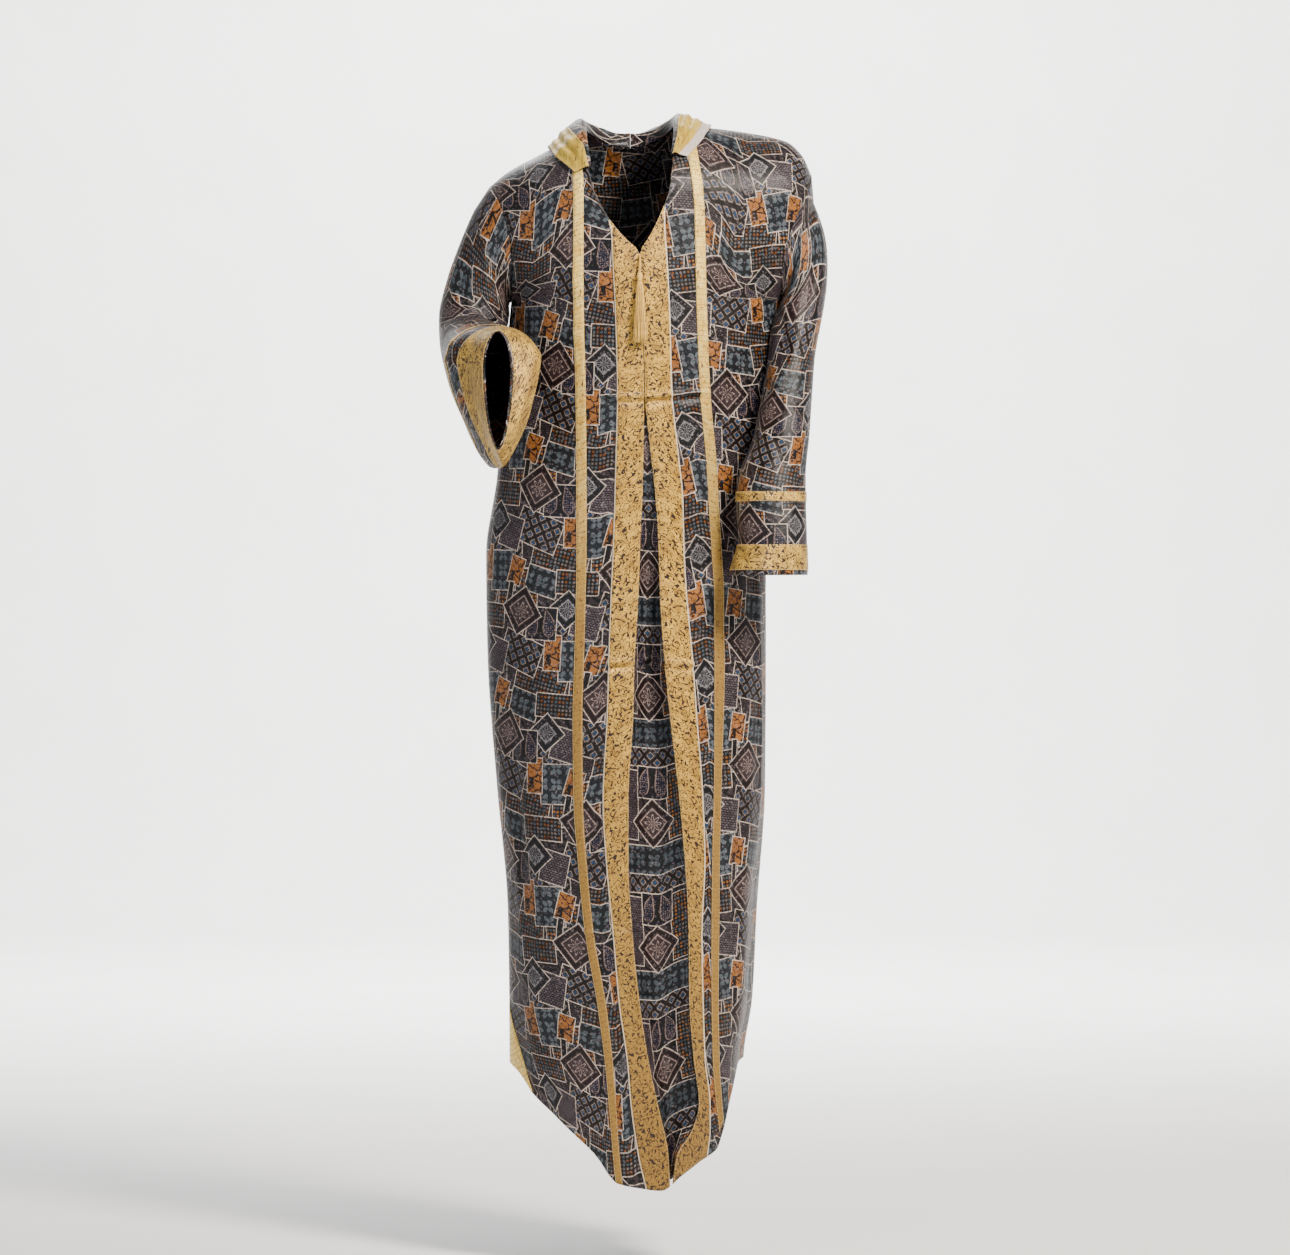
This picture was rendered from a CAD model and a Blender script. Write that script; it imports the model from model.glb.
import math

import bmesh
import bpy
import numpy as np
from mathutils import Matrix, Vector


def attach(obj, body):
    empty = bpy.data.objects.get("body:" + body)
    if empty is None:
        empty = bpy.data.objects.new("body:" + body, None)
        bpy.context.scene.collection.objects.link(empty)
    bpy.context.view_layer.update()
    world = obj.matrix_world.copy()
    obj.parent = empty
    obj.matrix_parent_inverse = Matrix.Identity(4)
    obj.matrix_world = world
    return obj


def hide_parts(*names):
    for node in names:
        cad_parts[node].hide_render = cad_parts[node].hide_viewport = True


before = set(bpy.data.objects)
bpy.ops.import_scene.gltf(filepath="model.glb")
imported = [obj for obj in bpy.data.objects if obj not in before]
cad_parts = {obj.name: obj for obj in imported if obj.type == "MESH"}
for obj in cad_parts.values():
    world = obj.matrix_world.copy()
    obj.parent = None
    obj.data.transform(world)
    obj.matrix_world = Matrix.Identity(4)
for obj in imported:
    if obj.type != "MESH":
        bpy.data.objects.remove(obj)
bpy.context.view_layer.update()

# Hooded abaya in its worn, hollow form. The tables are in millimetres, and every mesh is
# turned to metres as it is made. The front faces -Y and the wearer's left is at +X.
SATIN = 0.8  # what the satin panels show as their thickness
BROCADE = 0.8  # the same for the brocade laid on them
LAID = 0.95  # how far a laid band's face stands off the satin's face
STITCH_LIFT = LAID + 0.05  # how far the stitches' middles stand off the satin's face
SEAM = 0.3  # gap between pieces that are sewn together
ROUND = 100  # height over which the shoulders round off
ARC = 168  # length of cloth in that rounding
ARMPIT = -232
ARMHOLE_MID = -146
ARMHOLE_DEEP = 0.56  # armhole half depth, as a share of the body's half depth
NECK_HALF = 62
NECK_DIP = 27  # how far the back neckline drops below the shoulder line
PLEAT_TOP = -380
PLEAT_LAP = 14  # how far the inset runs on behind each front
PLEAT_HOLLOW = 26  # how far the inset's middle is set back where the hollow is full
VENT_TOP = -1184


# Shapes ---------------------------------------------------------------------------------
class Chart:
    """Named columns read by the first one, through a curve that never passes its rows."""

    def __init__(self, names, rows):
        grid = np.array(sorted(rows), float)
        self.names, self.at, self.values = names.split(), grid[:, 0], grid[:, 1:]
        step = np.diff(self.values, axis=0) / np.diff(self.at)[:, None]
        before, after = step[:-1], step[1:]
        same = before * after > 0
        total = np.where(same, before + after, 1)
        inner = np.where(same, 2 * before * after / total, 0)
        self.slopes = np.vstack([step[:1], inner, step[-1:]])

    def __call__(self, key, name):
        column = self.names.index(name)
        key = np.asarray(key, float)
        i = np.clip(np.searchsorted(self.at, key) - 1, 0, len(self.at) - 2)
        span = self.at[i + 1] - self.at[i]
        t = np.clip((key - self.at[i]) / span, 0, 1)
        beyond = key - self.at[i] - t * span
        a, b = self.values[i, column], self.values[i + 1, column]
        p, q = self.slopes[i, column] * span, self.slopes[i + 1, column] * span
        curve = a + t * (p + t * (3 * (b - a) - 2 * p - q + t * (2 * (a - b) + p + q)))
        return curve + beyond * self.slopes[np.where(t < 0.5, i, i + 1), column]


def mix(a, b, t):
    return a + (b - a) * t


def smooth(t):
    t = np.clip(t, 0, 1)
    return t * t * (3 - 2 * t)


def unit(v):
    return v / np.maximum(np.linalg.norm(v, axis=-1, keepdims=True), 1e-9)


body = Chart("left right depth", [
    [30, -186, 244, 112], [-58, -191, 246, 116], [-76, -189, 243, 117], [-95, -179, 236, 118],
    [-127, -168, 222, 120], [-161, -161, 211, 122], [-202, -160, 205, 124],
    [-232, -162, 205, 124], [-300, -169, 200, 123], [-361, -174, 196, 121],
    [-467, -181, 189, 118], [-575, -196, 185, 119], [-706, -194, 185, 123],
    [-888, -181, 184, 130], [-1056, -166, 173, 136], [-1175, -164, 167, 139],
    [-1258, -163, 155, 141], [-1430, -160, 150, 142]])
shoulder = Chart("z", [
    [-215, -98], [-191, -75], [-165, -54], [-111, -25], [-62, 2], [0, 12], [62, 8], [109, 5],
    [157, -1], [212, -13], [234, -32], [246, -58], [258, -92]])
front_hem = Chart("z", [
    [-170, -1254], [-155, -1266], [-126, -1301], [-89, -1339], [-45, -1380], [-18, -1416],
    [18, -1424], [42, -1427], [69, -1408], [94, -1390], [114, -1376], [122, -1351],
    [131, -1310], [144, -1274], [160, -1252]])
back_hem = Chart("z", [[-170, -1252], [-80, -1318], [0, -1342], [80, -1318], [160, -1250]])
right_front = Chart("edge band trim wide", [
    [20, -62, -62, -84, 14], [3, -62, -62, -82, 14], [-43, -57, -57, -73, 14],
    [-81, -50, -48, -69, 14], [-126, -28, -28, -69, 14], [-151, -8, -25, -69, 14],
    [-174, 13.4, -24, -69, 14], [-254, 16, -20, -68, 14], [-359, 19.5, -17.5, -66, 14],
    [-472, 18, -20, -65, 14], [-567, 14, -23, -65, 14], [-636, 11.6, -26, -66, 13.5],
    [-722, 6.7, -29, -68, 13.5], [-792, 4.9, -31, -70, 13.5], [-907, -1.4, -36.5, -69, 13],
    [-988, -1.4, -32, -63.5, 12], [-1083, 4, -23, -54, 12], [-1175, 13.5, -15, -38, 12],
    [-1254, 25.7, -4, -28, 11], [-1312, 38, 1, -23, 10], [-1380, 52, 11, -18, 9],
    [-1427, 54, 22, -13, 9]])
left_front = Chart("edge band trim wide", [
    [20, 62, 62, 77, 12], [-7, 62, 62, 80, 13], [-49, 57, 59, 86, 14], [-86, 53, 53, 91, 14],
    [-112, 44.5, 47, 93, 14], [-147, 28, 48, 94, 14], [-174, 13.4, 50, 94.5, 14],
    [-254, 16, 54, 96.5, 14], [-359, 19.5, 57, 101, 14], [-447, 28, 66, 109, 14],
    [-501, 34, 71.5, 112, 14], [-567, 38, 73, 116, 14], [-636, 40, 77, 119.5, 13.5],
    [-722, 46, 85, 119.5, 13], [-792, 53, 90, 119, 12], [-907, 66, 98.5, 117, 10],
    [-988, 73, 101, 115, 10], [-1083, 78, 97, 114, 10], [-1175, 79, 98.5, 113.5, 9],
    [-1254, 85, 101, 114, 8], [-1312, 92, 107, 117, 7], [-1349, 82, 107, 120, 6],
    [-1380, 62, 104, 122, 6], [-1427, 56, 100, 124, 6]])

# Long soft folds: where they lie round the body (radians from the front), where they
# begin, how far they stand out and how wide they are.
FOLDS = [
    (-1.28, -420, 4, 0.17), (-0.86, -640, 5, 0.15), (1.0, -520, 5, 0.17), (1.36, -760, -4, 0.14),
    (2.0, -380, 6, 0.2), (2.5, -600, -5, 0.18), (2.95, -330, 7, 0.2), (-2.75, -560, -5, 0.17),
    (-2.3, -400, 6, 0.2), (-1.85, -700, -4, 0.16)]
# Where the garment lay folded for storage: height, how far round each crease shows (from,
# to, in radians), how far it stands out, and how far it wanders up and down.
CREASES = [
    (-362, -0.42, 0.62, 4.4, 3.0), (-366, 2.3, 3.9, 2.4, 4.0), (-722, -0.36, 0.60, 4.2, 2.0),
    (-726, 2.2, 4.1, 2.6, 5.0), (-1080, -0.95, 0.75, 1.8, 4.0), (-1076, 2.4, 3.9, 2.0, 5.0)]
# Pulls and hollows laid in by hand: from and to as (angle, height), stand-out, half width.
PULLS = [
    (-1.2, -250, -0.55, -420, -3.2, 13), (-1.25, -285, -0.7, -520, 3.0, 14),
    (-1.1, -215, -0.35, -300, 2.4, 11), (-1.3, -330, -0.95, -640, -3.4, 15),
    (-0.62, -110, -0.48, -330, 2.0, 12), (1.15, -245, 0.62, -400, -3.0, 13),
    (1.2, -290, 0.8, -560, 3.2, 14), (1.05, -205, 0.5, -285, 2.2, 11),
    (1.28, -340, 1.1, -700, -3.4, 15), (0.72, -90, 0.6, -300, 1.8, 12),
    (-0.72, -560, -0.62, -860, 2.6, 13), (-0.5, -820, -0.42, -1180, -2.4, 12),
    (-1.0, -760, -0.9, -1120, -3.2, 14), (-1.15, -900, -1.05, -1230, 3.2, 13),
    (-0.75, -980, -0.55, -1330, 2.8, 13), (0.75, -700, 0.82, -1100, 2.6, 13),
    (0.95, -860, 0.98, -1250, -3.2, 14), (1.2, -620, 1.25, -1000, 2.8, 13),
    (0.2, -420, 0.3, -640, 1.2, 10), (-0.25, -470, -0.3, -690, -1.4, 11),
    (2.0, -240, 2.55, -420, 3.2, 15), (2.1, -320, 2.5, -650, -3.6, 16),
    (4.3, -240, 3.75, -430, 3.2, 15), (4.2, -330, 3.8, -660, -3.6, 16),
    (3.15, -420, 3.1, -800, -3.0, 15), (2.8, -620, 2.75, -1050, 3.4, 15),
    (3.5, -640, 3.55, -1080, 3.2, 15), (2.35, -760, 2.3, -1150, -3.4, 14),
    (3.95, -740, 4.0, -1160, -3.2, 14), (3.2, -900, 3.2, -1260, 3.0, 15)]


def armhole_share(z):
    """How far the armhole reaches at a height, as a share of the half depth."""
    down = np.clip((ARMHOLE_MID - z) / (ARMHOLE_MID - ARMPIT), 0, 1)
    return ARMHOLE_DEEP * np.sqrt(1 - down**2)


def section(z):
    """The middle, half width and half depth of the body's section at a height."""
    left, right = body(z, "left"), body(z, "right")
    half = (right - left) / 2 / np.sqrt(1 - armhole_share(z) ** 2)
    return (left + right) / 2, half, body(z, "depth")


def apart(u, v):
    """The turn from one angle to another, the short way round."""
    return np.arctan2(np.sin(u - v), np.cos(u - v))


def relief(u, z):
    """How far the cloth stands out from its plain form: folds, storage creases and pulls."""
    high = np.zeros(np.broadcast(u, z).shape)
    for angle, top, height, wide in FOLDS:
        high += height * smooth((top - z) / 420) * np.exp(-((apart(u, angle) / wide) ** 2))
    for level, start, end, height, wander in CREASES:
        share = (apart(u, (start + end) / 2) / (end - start)) + 0.5
        show = smooth(share / 0.22) * smooth((1 - share) / 0.22)
        uneven = 0.72 + 0.28 * np.sin(23 * share + level)
        off = z - level - wander * np.sin(5.5 * share + 0.01 * level)
        ridge = 1.2 * np.exp(-((off / 3.2) ** 2)) - 0.75 * np.exp(-(((off + 7) / 5) ** 2))
        high += height * show * uneven * ridge
    for ua, za, ub, zb, height, wide in PULLS:
        across, down = (ub - ua) * 170, zb - za
        px, pz = apart(u, ua) * 170, z - za
        t = np.clip((px * across + pz * down) / (across**2 + down**2), 0, 1)
        bow = 7 * np.sin(math.pi * t) * (1 if height > 0 else -1)
        far = np.hypot(px - t * across - bow, pz - t * down)
        spread = wide * (0.7 + 0.6 * np.abs(t - 0.4))
        high += height * np.exp(-((far / spread) ** 2)) * np.sin(math.pi * mix(0.12, 0.95, t))
    middle, half, _ = section(z)
    down = shoulder(middle + half * np.sin(u), "z") - z
    return high * smooth((down - 25) / 70)


def rounding(x, z):
    """The share of its full depth that the body has at a place below the shoulder line."""
    down = np.clip((shoulder(x, "z") - z) / ROUND, 0, 1)
    return np.sqrt(1 - (1 - down) ** 2)


def arc_of(down):
    """The length of cloth from the shoulder line to a drop below it."""
    return np.arccos(np.clip(1 - down / ROUND, 0, 1)) / (math.pi / 2) * ARC


def body_point(u, z):
    middle, half, depth = section(z)
    x = middle + half * np.sin(u)
    y = -depth * np.cos(u) * rounding(x, z)
    lift = relief(u, z)
    return np.stack([x + lift * np.sin(u), y - lift * np.cos(u), z + 0 * u], -1)


def shoulder_point(x, arc):
    """The cloth near the shoulder line, walked along the body's arc from the ridge."""
    turn = np.clip(np.abs(arc) / ARC, 0, 1) * math.pi / 2
    past = np.maximum(np.abs(arc) - ARC, 0)
    z = shoulder(x, "z") - ROUND * (1 - np.cos(turn)) - past
    middle, half, depth = section(z)
    side = np.sqrt(np.maximum(1 - ((x - middle) / half) ** 2, 0.02))
    return np.stack([x + 0 * z, np.sign(arc) * depth * side * np.sin(turn), z], -1)


def shoulder_normal(x, arc):
    along = shoulder_point(x + 1, arc) - shoulder_point(x - 1, arc)
    across = shoulder_point(x, arc + 1) - shoulder_point(x, arc - 1)
    return unit(np.cross(along, across))


def front_angle(x, z):
    """The angle round the body of a place on its front."""
    middle, half, _ = section(z)
    return np.arcsin(np.clip((x - middle) / half, -1, 1))


SETTLING_TURNS = 48


def body_grid(lines, steps, levels, top, hem):
    """Heights and points on the body between lines round it, on rows from a top to a hem.
    The lines depend on the height and the rows on the place, so both are settled in turns."""
    columns = [(i, k / n) for i, n in enumerate(steps) for k in range(n)]
    columns.append((len(lines) - 2, 1.0))
    which = np.array([c[0] for c in columns])
    share = np.array([c[1] for c in columns])
    z = np.full((len(levels), len(columns)), float(ARMPIT))
    for _ in range(SETTLING_TURNS):
        around = np.stack([line(z) for line in lines])
        low = np.take_along_axis(around, which[None, None, :], 0)[0]
        high = np.take_along_axis(around, which[None, None, :] + 1, 0)[0]
        u = mix(low, high, share)
        middle, half, _ = section(z)
        x = middle + half * np.sin(u)
        high_z, low_z = top(x), hem(x)
        wanted = np.stack([level(high_z[r], low_z[r]) for r, level in enumerate(levels)])
        z = mix(z, wanted, 0.4)
    return z, body_point(u, z)


def normals(points, closed=False, flip=False):
    if closed:
        ring = points[:, :-1]
        along = np.roll(ring, -1, 1) - np.roll(ring, 1, 1)
        along = np.concatenate([along, along[:, :1]], 1)
    else:
        along = np.gradient(points, axis=1)
    down = np.gradient(points, axis=0)
    normal = unit(np.cross(along, down))
    return -normal if flip else normal


def lengths(points, axis, start=0):
    """Cloth length along a grid's rows or columns, nought at the given line."""
    step = np.linalg.norm(np.diff(points, axis=axis), axis=-1)
    walked = np.cumsum(step, axis)
    walked = np.insert(walked, 0, 0, axis=axis)
    return walked - np.take(walked, [start], axis=axis)


# Meshes ---------------------------------------------------------------------------------
def mesh_object(name, verts, faces, uvs=None, slots=None, materials=()):
    mesh = bpy.data.meshes.new(name)
    mesh.from_pydata((np.asarray(verts) / 1000).tolist(), [], faces)
    if uvs is not None:
        layer = mesh.uv_layers.new(name="cloth")
        loops = np.empty(len(mesh.loops), np.int32)
        mesh.loops.foreach_get("vertex_index", loops)
        layer.data.foreach_set("uv", (np.asarray(uvs)[loops] / 1000).astype(np.float32).ravel())
    if slots is not None:
        mesh.polygons.foreach_set("material_index", np.asarray(slots, np.int32))
    mesh.polygons.foreach_set("use_smooth", np.ones(len(mesh.polygons), bool))
    for material in materials:
        mesh.materials.append(material)
    obj = bpy.data.objects.new(name, mesh)
    bpy.context.scene.collection.objects.link(obj)
    return obj


def outward(obj, merge=1e-6):
    work = bmesh.new()
    work.from_mesh(obj.data)
    bmesh.ops.remove_doubles(work, verts=work.verts, dist=merge)
    if work.calc_volume(signed=True) < 0:
        bmesh.ops.reverse_faces(work, faces=work.faces)
    work.to_mesh(obj.data)
    work.free()
    return obj


def cloth(name, points, normal, uv, material, out=0.0, thick=SATIN, closed=False,
          edge_from=None, edge=None):
    """A thin shell of cloth on a grid, its face `out` off it. Rows from edge_from on take the
    second material, edge."""
    rows, columns = points.shape[:2]
    face, back = points + normal * out, points + normal * (out - thick)
    verts = np.concatenate([face.reshape(-1, 3), back.reshape(-1, 3)])
    uvs = np.concatenate([uv.reshape(-1, 2)] * 2)
    half = rows * columns
    index = np.arange(half).reshape(rows, columns)
    a, b, c, d = index[:-1, :-1], index[1:, :-1], index[1:, 1:], index[:-1, 1:]
    outer = np.stack([a, b, c, d], -1).reshape(-1, 4)
    inner = np.stack([a, d, c, b], -1).reshape(-1, 4) + half
    top = np.stack([index[0, :-1], index[0, 1:], index[0, 1:] + half, index[0, :-1] + half], -1)
    end = np.stack([index[-1, :-1], index[-1, :-1] + half, index[-1, 1:] + half, index[-1, 1:]], -1)
    quads = [outer, inner, top, end]
    if not closed:
        first, last = index[:, 0], index[:, -1]
        quads.append(np.stack([first[:-1], first[:-1] + half, first[1:] + half, first[1:]], -1))
        quads.append(np.stack([last[:-1], last[1:], last[1:] + half, last[:-1] + half], -1))
    faces = np.concatenate(quads)
    slots = None
    if edge is not None:
        row_of = (faces[:, 0] % half) // columns
        slots = (row_of >= edge_from).astype(int)
    materials = [material] if edge is None else [material, edge]
    obj = mesh_object(name, verts, faces.tolist(), uvs, slots, materials)
    return outward(obj)


def show(obj, node, slot, flat=None, area=None, held="hung", rests_on=()):
    """Rides the piece on the garment, puts it in its node's place and states its cut."""
    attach(obj, "root")
    if node:
        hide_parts(node)
    return obj


# Materials ------------------------------------------------------------------------------
def tint(code, alpha=1.0):
    """An sRGB hex colour as linear values."""
    parts = [int(code[i:i + 2], 16) / 255 for i in (1, 3, 5)]
    return [p / 12.92 if p <= 0.04045 else ((p + 0.055) / 1.055) ** 2.4 for p in parts] + [alpha]


def add(tree, kind, links=(), out=0, **settings):
    """Adds a node with its settings, and links or sets its sockets by place or name."""
    node = tree.nodes.new(kind)
    for name, value in settings.items():
        setattr(node, name, value)
    pairs = links.items() if isinstance(links, dict) else enumerate(links)
    for place, value in pairs:
        if value is None:
            continue
        if isinstance(value, bpy.types.NodeSocket):
            tree.links.new(value, node.inputs[place])
        else:
            node.inputs[place].default_value = value
    return node.outputs[out] if len(node.outputs) > 0 else node


def new_group(name, takes, gives, kind="ShaderNodeTree"):
    tree = bpy.data.node_groups.new(name, kind)
    for label, socket in takes:
        tree.interface.new_socket(name=label, in_out="INPUT", socket_type=socket)
    for label, socket in gives:
        tree.interface.new_socket(name=label, in_out="OUTPUT", socket_type=socket)
    inlet = tree.nodes.new("NodeGroupInput")
    return tree, [inlet.outputs[label] for label, _ in takes]


VECTOR, FLOAT, COLOUR = "NodeSocketVector", "NodeSocketFloat", "NodeSocketColor"
WHITE_LINE = "#bfb0a5"
REPEAT_WIDE, REPEAT_TALL, REPEAT_DROP = 135, 167, 65


def patch_place():
    """Where a patch lies in the repeat: its own coordinates in millimetres, and the distance
    to its edge, which is below nought inside."""
    t, (cloth_at, middle, half, turn) = new_group(
        "patch_place", [("Cloth", VECTOR), ("Middle", VECTOR), ("Half", VECTOR), ("Turn", FLOAT)],
        [("Local", VECTOR), ("Edge", FLOAT)])
    off = add(t, "ShaderNodeVectorMath", [cloth_at, middle], operation="SUBTRACT")
    split = add(t, "ShaderNodeSeparateXYZ", [off]).node
    share = add(t, "ShaderNodeMath", [split.outputs[0], REPEAT_WIDE], operation="DIVIDE")
    column = add(t, "ShaderNodeMath", [share], operation="ROUND")
    x = add(t, "ShaderNodeMath", [column, -REPEAT_WIDE, split.outputs[0]], operation="MULTIPLY_ADD")
    drop = add(t, "ShaderNodeMath", [column, -REPEAT_DROP, split.outputs[1]], operation="MULTIPLY_ADD")
    y = add(t, "ShaderNodeMath", [drop, REPEAT_TALL / 2, -REPEAT_TALL / 2], operation="WRAP")
    level = add(t, "ShaderNodeCombineXYZ", [x, y])
    local = add(t, "ShaderNodeVectorRotate", {0: level, 3: turn}, rotation_type="Z_AXIS")
    size = add(t, "ShaderNodeVectorMath", [local], operation="ABSOLUTE")
    over = add(t, "ShaderNodeVectorMath", [size, half], operation="SUBTRACT")
    parts = add(t, "ShaderNodeSeparateXYZ", [over]).node
    edge = add(t, "ShaderNodeMath", [parts.outputs[0], parts.outputs[1]], operation="MAXIMUM")
    add(t, "NodeGroupOutput", [local, edge])
    return t


def patch_laid():
    """Lays a patch with its off-white outline over what is below it."""
    t, (below, patch, edge) = new_group(
        "patch_laid", [("Below", COLOUR), ("Patch", COLOUR), ("Edge", FLOAT)], [("Colour", COLOUR)])
    # The printed line is about 0.8 mm and is drawn at 1.2 mm, so that it shows from afar.
    in_line = add(t, "ShaderNodeMath", [edge, 0.6], operation="LESS_THAN")
    in_patch = add(t, "ShaderNodeMath", [edge, -0.6], operation="LESS_THAN")
    lined = add(t, "ShaderNodeMix", {0: in_line, 6: below, 7: tint(WHITE_LINE)}, out=2, data_type="RGBA")
    laid = add(t, "ShaderNodeMix", {0: in_patch, 6: lined, 7: patch}, out=2, data_type="RGBA")
    add(t, "NodeGroupOutput", [laid])
    return t


def motif(name, colours):
    """Starts a motif's group with its own coordinates, its edge distance and its colours."""
    takes = [("Local", VECTOR), ("Edge", FLOAT)] + [(c, COLOUR) for c in colours]
    return new_group(name, takes, [("Colour", COLOUR)])


def around_middle(t, at, times):
    """The turn round the middle, times a number, and the distance from the middle."""
    parts = add(t, "ShaderNodeSeparateXYZ", [at]).node
    angle = add(t, "ShaderNodeMath", [parts.outputs[1], parts.outputs[0]], operation="ARCTAN2")
    spun = add(t, "ShaderNodeMath", [angle, times], operation="MULTIPLY")
    return spun, add(t, "ShaderNodeVectorMath", [at], out=1, operation="LENGTH")


def medallion():
    """A framed diamond with an eight-petalled rosette drawn in thin lines."""
    t, (local, edge, ground, line, frame_colour) = motif("medallion", ["Ground", "Line", "Frame"])
    spun, radius = around_middle(t, local, 8)
    wave = add(t, "ShaderNodeMath", [spun], operation="COSINE")
    petal = add(t, "ShaderNodeMath", [wave, -3.4, radius], operation="MULTIPLY_ADD")
    rings = add(t, "ShaderNodeMath", [petal, 3.9], operation="PINGPONG")
    thin = add(t, "ShaderNodeMath", [rings, 1.05], operation="LESS_THAN")
    near = add(t, "ShaderNodeMath", [petal, 13.5], operation="LESS_THAN")
    drawn = add(t, "ShaderNodeMath", [thin, near], operation="MULTIPLY")
    inside = add(t, "ShaderNodeMix", {0: drawn, 6: ground, 7: line}, out=2, data_type="RGBA")
    band = add(t, "ShaderNodeMath", [edge, -4.6, 2.3], operation="COMPARE")
    framed = add(t, "ShaderNodeMix", {0: band, 6: inside, 7: frame_colour}, out=2, data_type="RGBA")
    bead = add(t, "ShaderNodeMath", [edge, -9.2, 0.7], operation="COMPARE")
    beaded = add(t, "ShaderNodeMix", {0: bead, 6: framed, 7: line}, out=2, data_type="RGBA")
    add(t, "NodeGroupOutput", [beaded])
    return t


def drops():
    """A pair of curled teardrops filled with dots, the old paisley motif."""
    t, (local, edge, ground, line, fill) = motif("drops", ["Ground", "Line", "Fill"])
    parts = add(t, "ShaderNodeSeparateXYZ", [local]).node
    side = add(t, "ShaderNodeMath", [parts.outputs[0]], operation="ABSOLUTE")
    rise = add(t, "ShaderNodeMapRange", {0: parts.outputs[1], 1: -17, 2: 19, 3: 0, 4: 1})
    bend = add(t, "ShaderNodeMath", [rise, 3], operation="POWER")
    centre = add(t, "ShaderNodeMath", [bend, -6.5, 13], operation="MULTIPLY_ADD")
    off = add(t, "ShaderNodeMath", [side, centre], operation="SUBTRACT")
    away = add(t, "ShaderNodeMath", [off], operation="ABSOLUTE")
    round_part = add(t, "ShaderNodeMath", [rise, 0.5], operation="POWER")
    left_over = add(t, "ShaderNodeMath", [1.0, rise], operation="SUBTRACT")
    body_wide = add(t, "ShaderNodeMath", [round_part, left_over], operation="MULTIPLY")
    wide = add(t, "ShaderNodeMath", [body_wide, 21], operation="MULTIPLY")
    depth = add(t, "ShaderNodeMath", [away, wide], operation="SUBTRACT")
    dots = add(t, "ShaderNodeTexVoronoi", {"Vector": local, "Scale": 0.34, "Randomness": 0.35})
    dotted = add(t, "ShaderNodeMath", [dots, 0.3], operation="LESS_THAN")
    filled = add(t, "ShaderNodeMix", {0: dotted, 6: fill, 7: line}, out=2, data_type="RGBA")
    in_drop = add(t, "ShaderNodeMath", [depth, 0], operation="LESS_THAN")
    laid = add(t, "ShaderNodeMix", {0: in_drop, 6: ground, 7: filled}, out=2, data_type="RGBA")
    rim = add(t, "ShaderNodeMath", [depth, 0.2, 0.8], operation="COMPARE")
    rimmed = add(t, "ShaderNodeMix", {0: rim, 6: laid, 7: line}, out=2, data_type="RGBA")
    frame_line = add(t, "ShaderNodeMath", [edge, -3.0, 0.5], operation="COMPARE")
    framed = add(t, "ShaderNodeMix", {0: frame_line, 6: rimmed, 7: fill}, out=2, data_type="RGBA")
    add(t, "NodeGroupOutput", [framed])
    return t


def basket():
    """Small bricks that stand for basket weave."""
    t, (local, _, one, two, gap) = motif("basket", ["One", "Two", "Gap"])
    bricks = add(t, "ShaderNodeTexBrick", {
        "Vector": local, "Color1": one, "Color2": two, "Mortar": gap, "Scale": 1.0,
        "Mortar Size": 0.55, "Mortar Smooth": 0.0, "Bias": 0.0, "Brick Width": 4.6, "Row Height": 3.1})
    add(t, "NodeGroupOutput", [bricks])
    return t


def sprigs():
    """Dark leafy sprigs on a plain ground."""
    t, (local, _, ground, leaf, stem) = motif("sprigs", ["Ground", "Leaf", "Stem"])
    bent = add(t, "ShaderNodeTexNoise", {"Vector": local, "Scale": 0.07, "Detail": 1.0}, out=1)
    shift = add(t, "ShaderNodeVectorMath", {0: bent, 1: (18, 18, 0), 2: local}, operation="MULTIPLY_ADD")
    cells = add(t, "ShaderNodeTexVoronoi", {
        "Vector": shift, "Scale": 0.085, "Randomness": 0.8}, feature="DISTANCE_TO_EDGE")
    branch = add(t, "ShaderNodeMath", [cells, 0.055], operation="LESS_THAN")
    leaves = add(t, "ShaderNodeTexVoronoi", {
        "Vector": local, "Scale": 0.13, "Randomness": 0.9}, distance="MANHATTAN")
    leafed = add(t, "ShaderNodeMath", [leaves, 0.36], operation="LESS_THAN")
    with_leaf = add(t, "ShaderNodeMix", {0: leafed, 6: ground, 7: leaf}, out=2, data_type="RGBA")
    with_stem = add(t, "ShaderNodeMix", {0: branch, 6: with_leaf, 7: stem}, out=2, data_type="RGBA")
    add(t, "NodeGroupOutput", [with_stem])
    return t


def star_flowers():
    """Rows of four-petalled flowers with a dark eye, 21 mm apart."""
    t, (local, _, ground, petal_colour, line) = motif("star_flowers", ["Ground", "Petal", "Line"])
    cell = add(t, "ShaderNodeVectorMath", [local, (10.5, 10.5, 10), (-10.5, -10.5, -10)], operation="WRAP")
    spun, radius = around_middle(t, cell, 2)
    wave = add(t, "ShaderNodeMath", [spun], operation="SINE")
    lobes = add(t, "ShaderNodeMath", [wave], operation="ABSOLUTE")
    reach = add(t, "ShaderNodeMath", [lobes, -9.0, radius], operation="MULTIPLY_ADD")
    in_petal = add(t, "ShaderNodeMath", [reach, 2.0], operation="LESS_THAN")
    petals = add(t, "ShaderNodeMix", {0: in_petal, 6: ground, 7: petal_colour}, out=2, data_type="RGBA")
    rim = add(t, "ShaderNodeMath", [reach, 2.2, 0.7], operation="COMPARE")
    rimmed = add(t, "ShaderNodeMix", {0: rim, 6: petals, 7: line}, out=2, data_type="RGBA")
    eye = add(t, "ShaderNodeMath", [radius, 1.9], operation="LESS_THAN")
    eyed = add(t, "ShaderNodeMix", {0: eye, 6: rimmed, 7: tint("#1a1722")}, out=2, data_type="RGBA")
    add(t, "NodeGroupOutput", [eyed])
    return t


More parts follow.
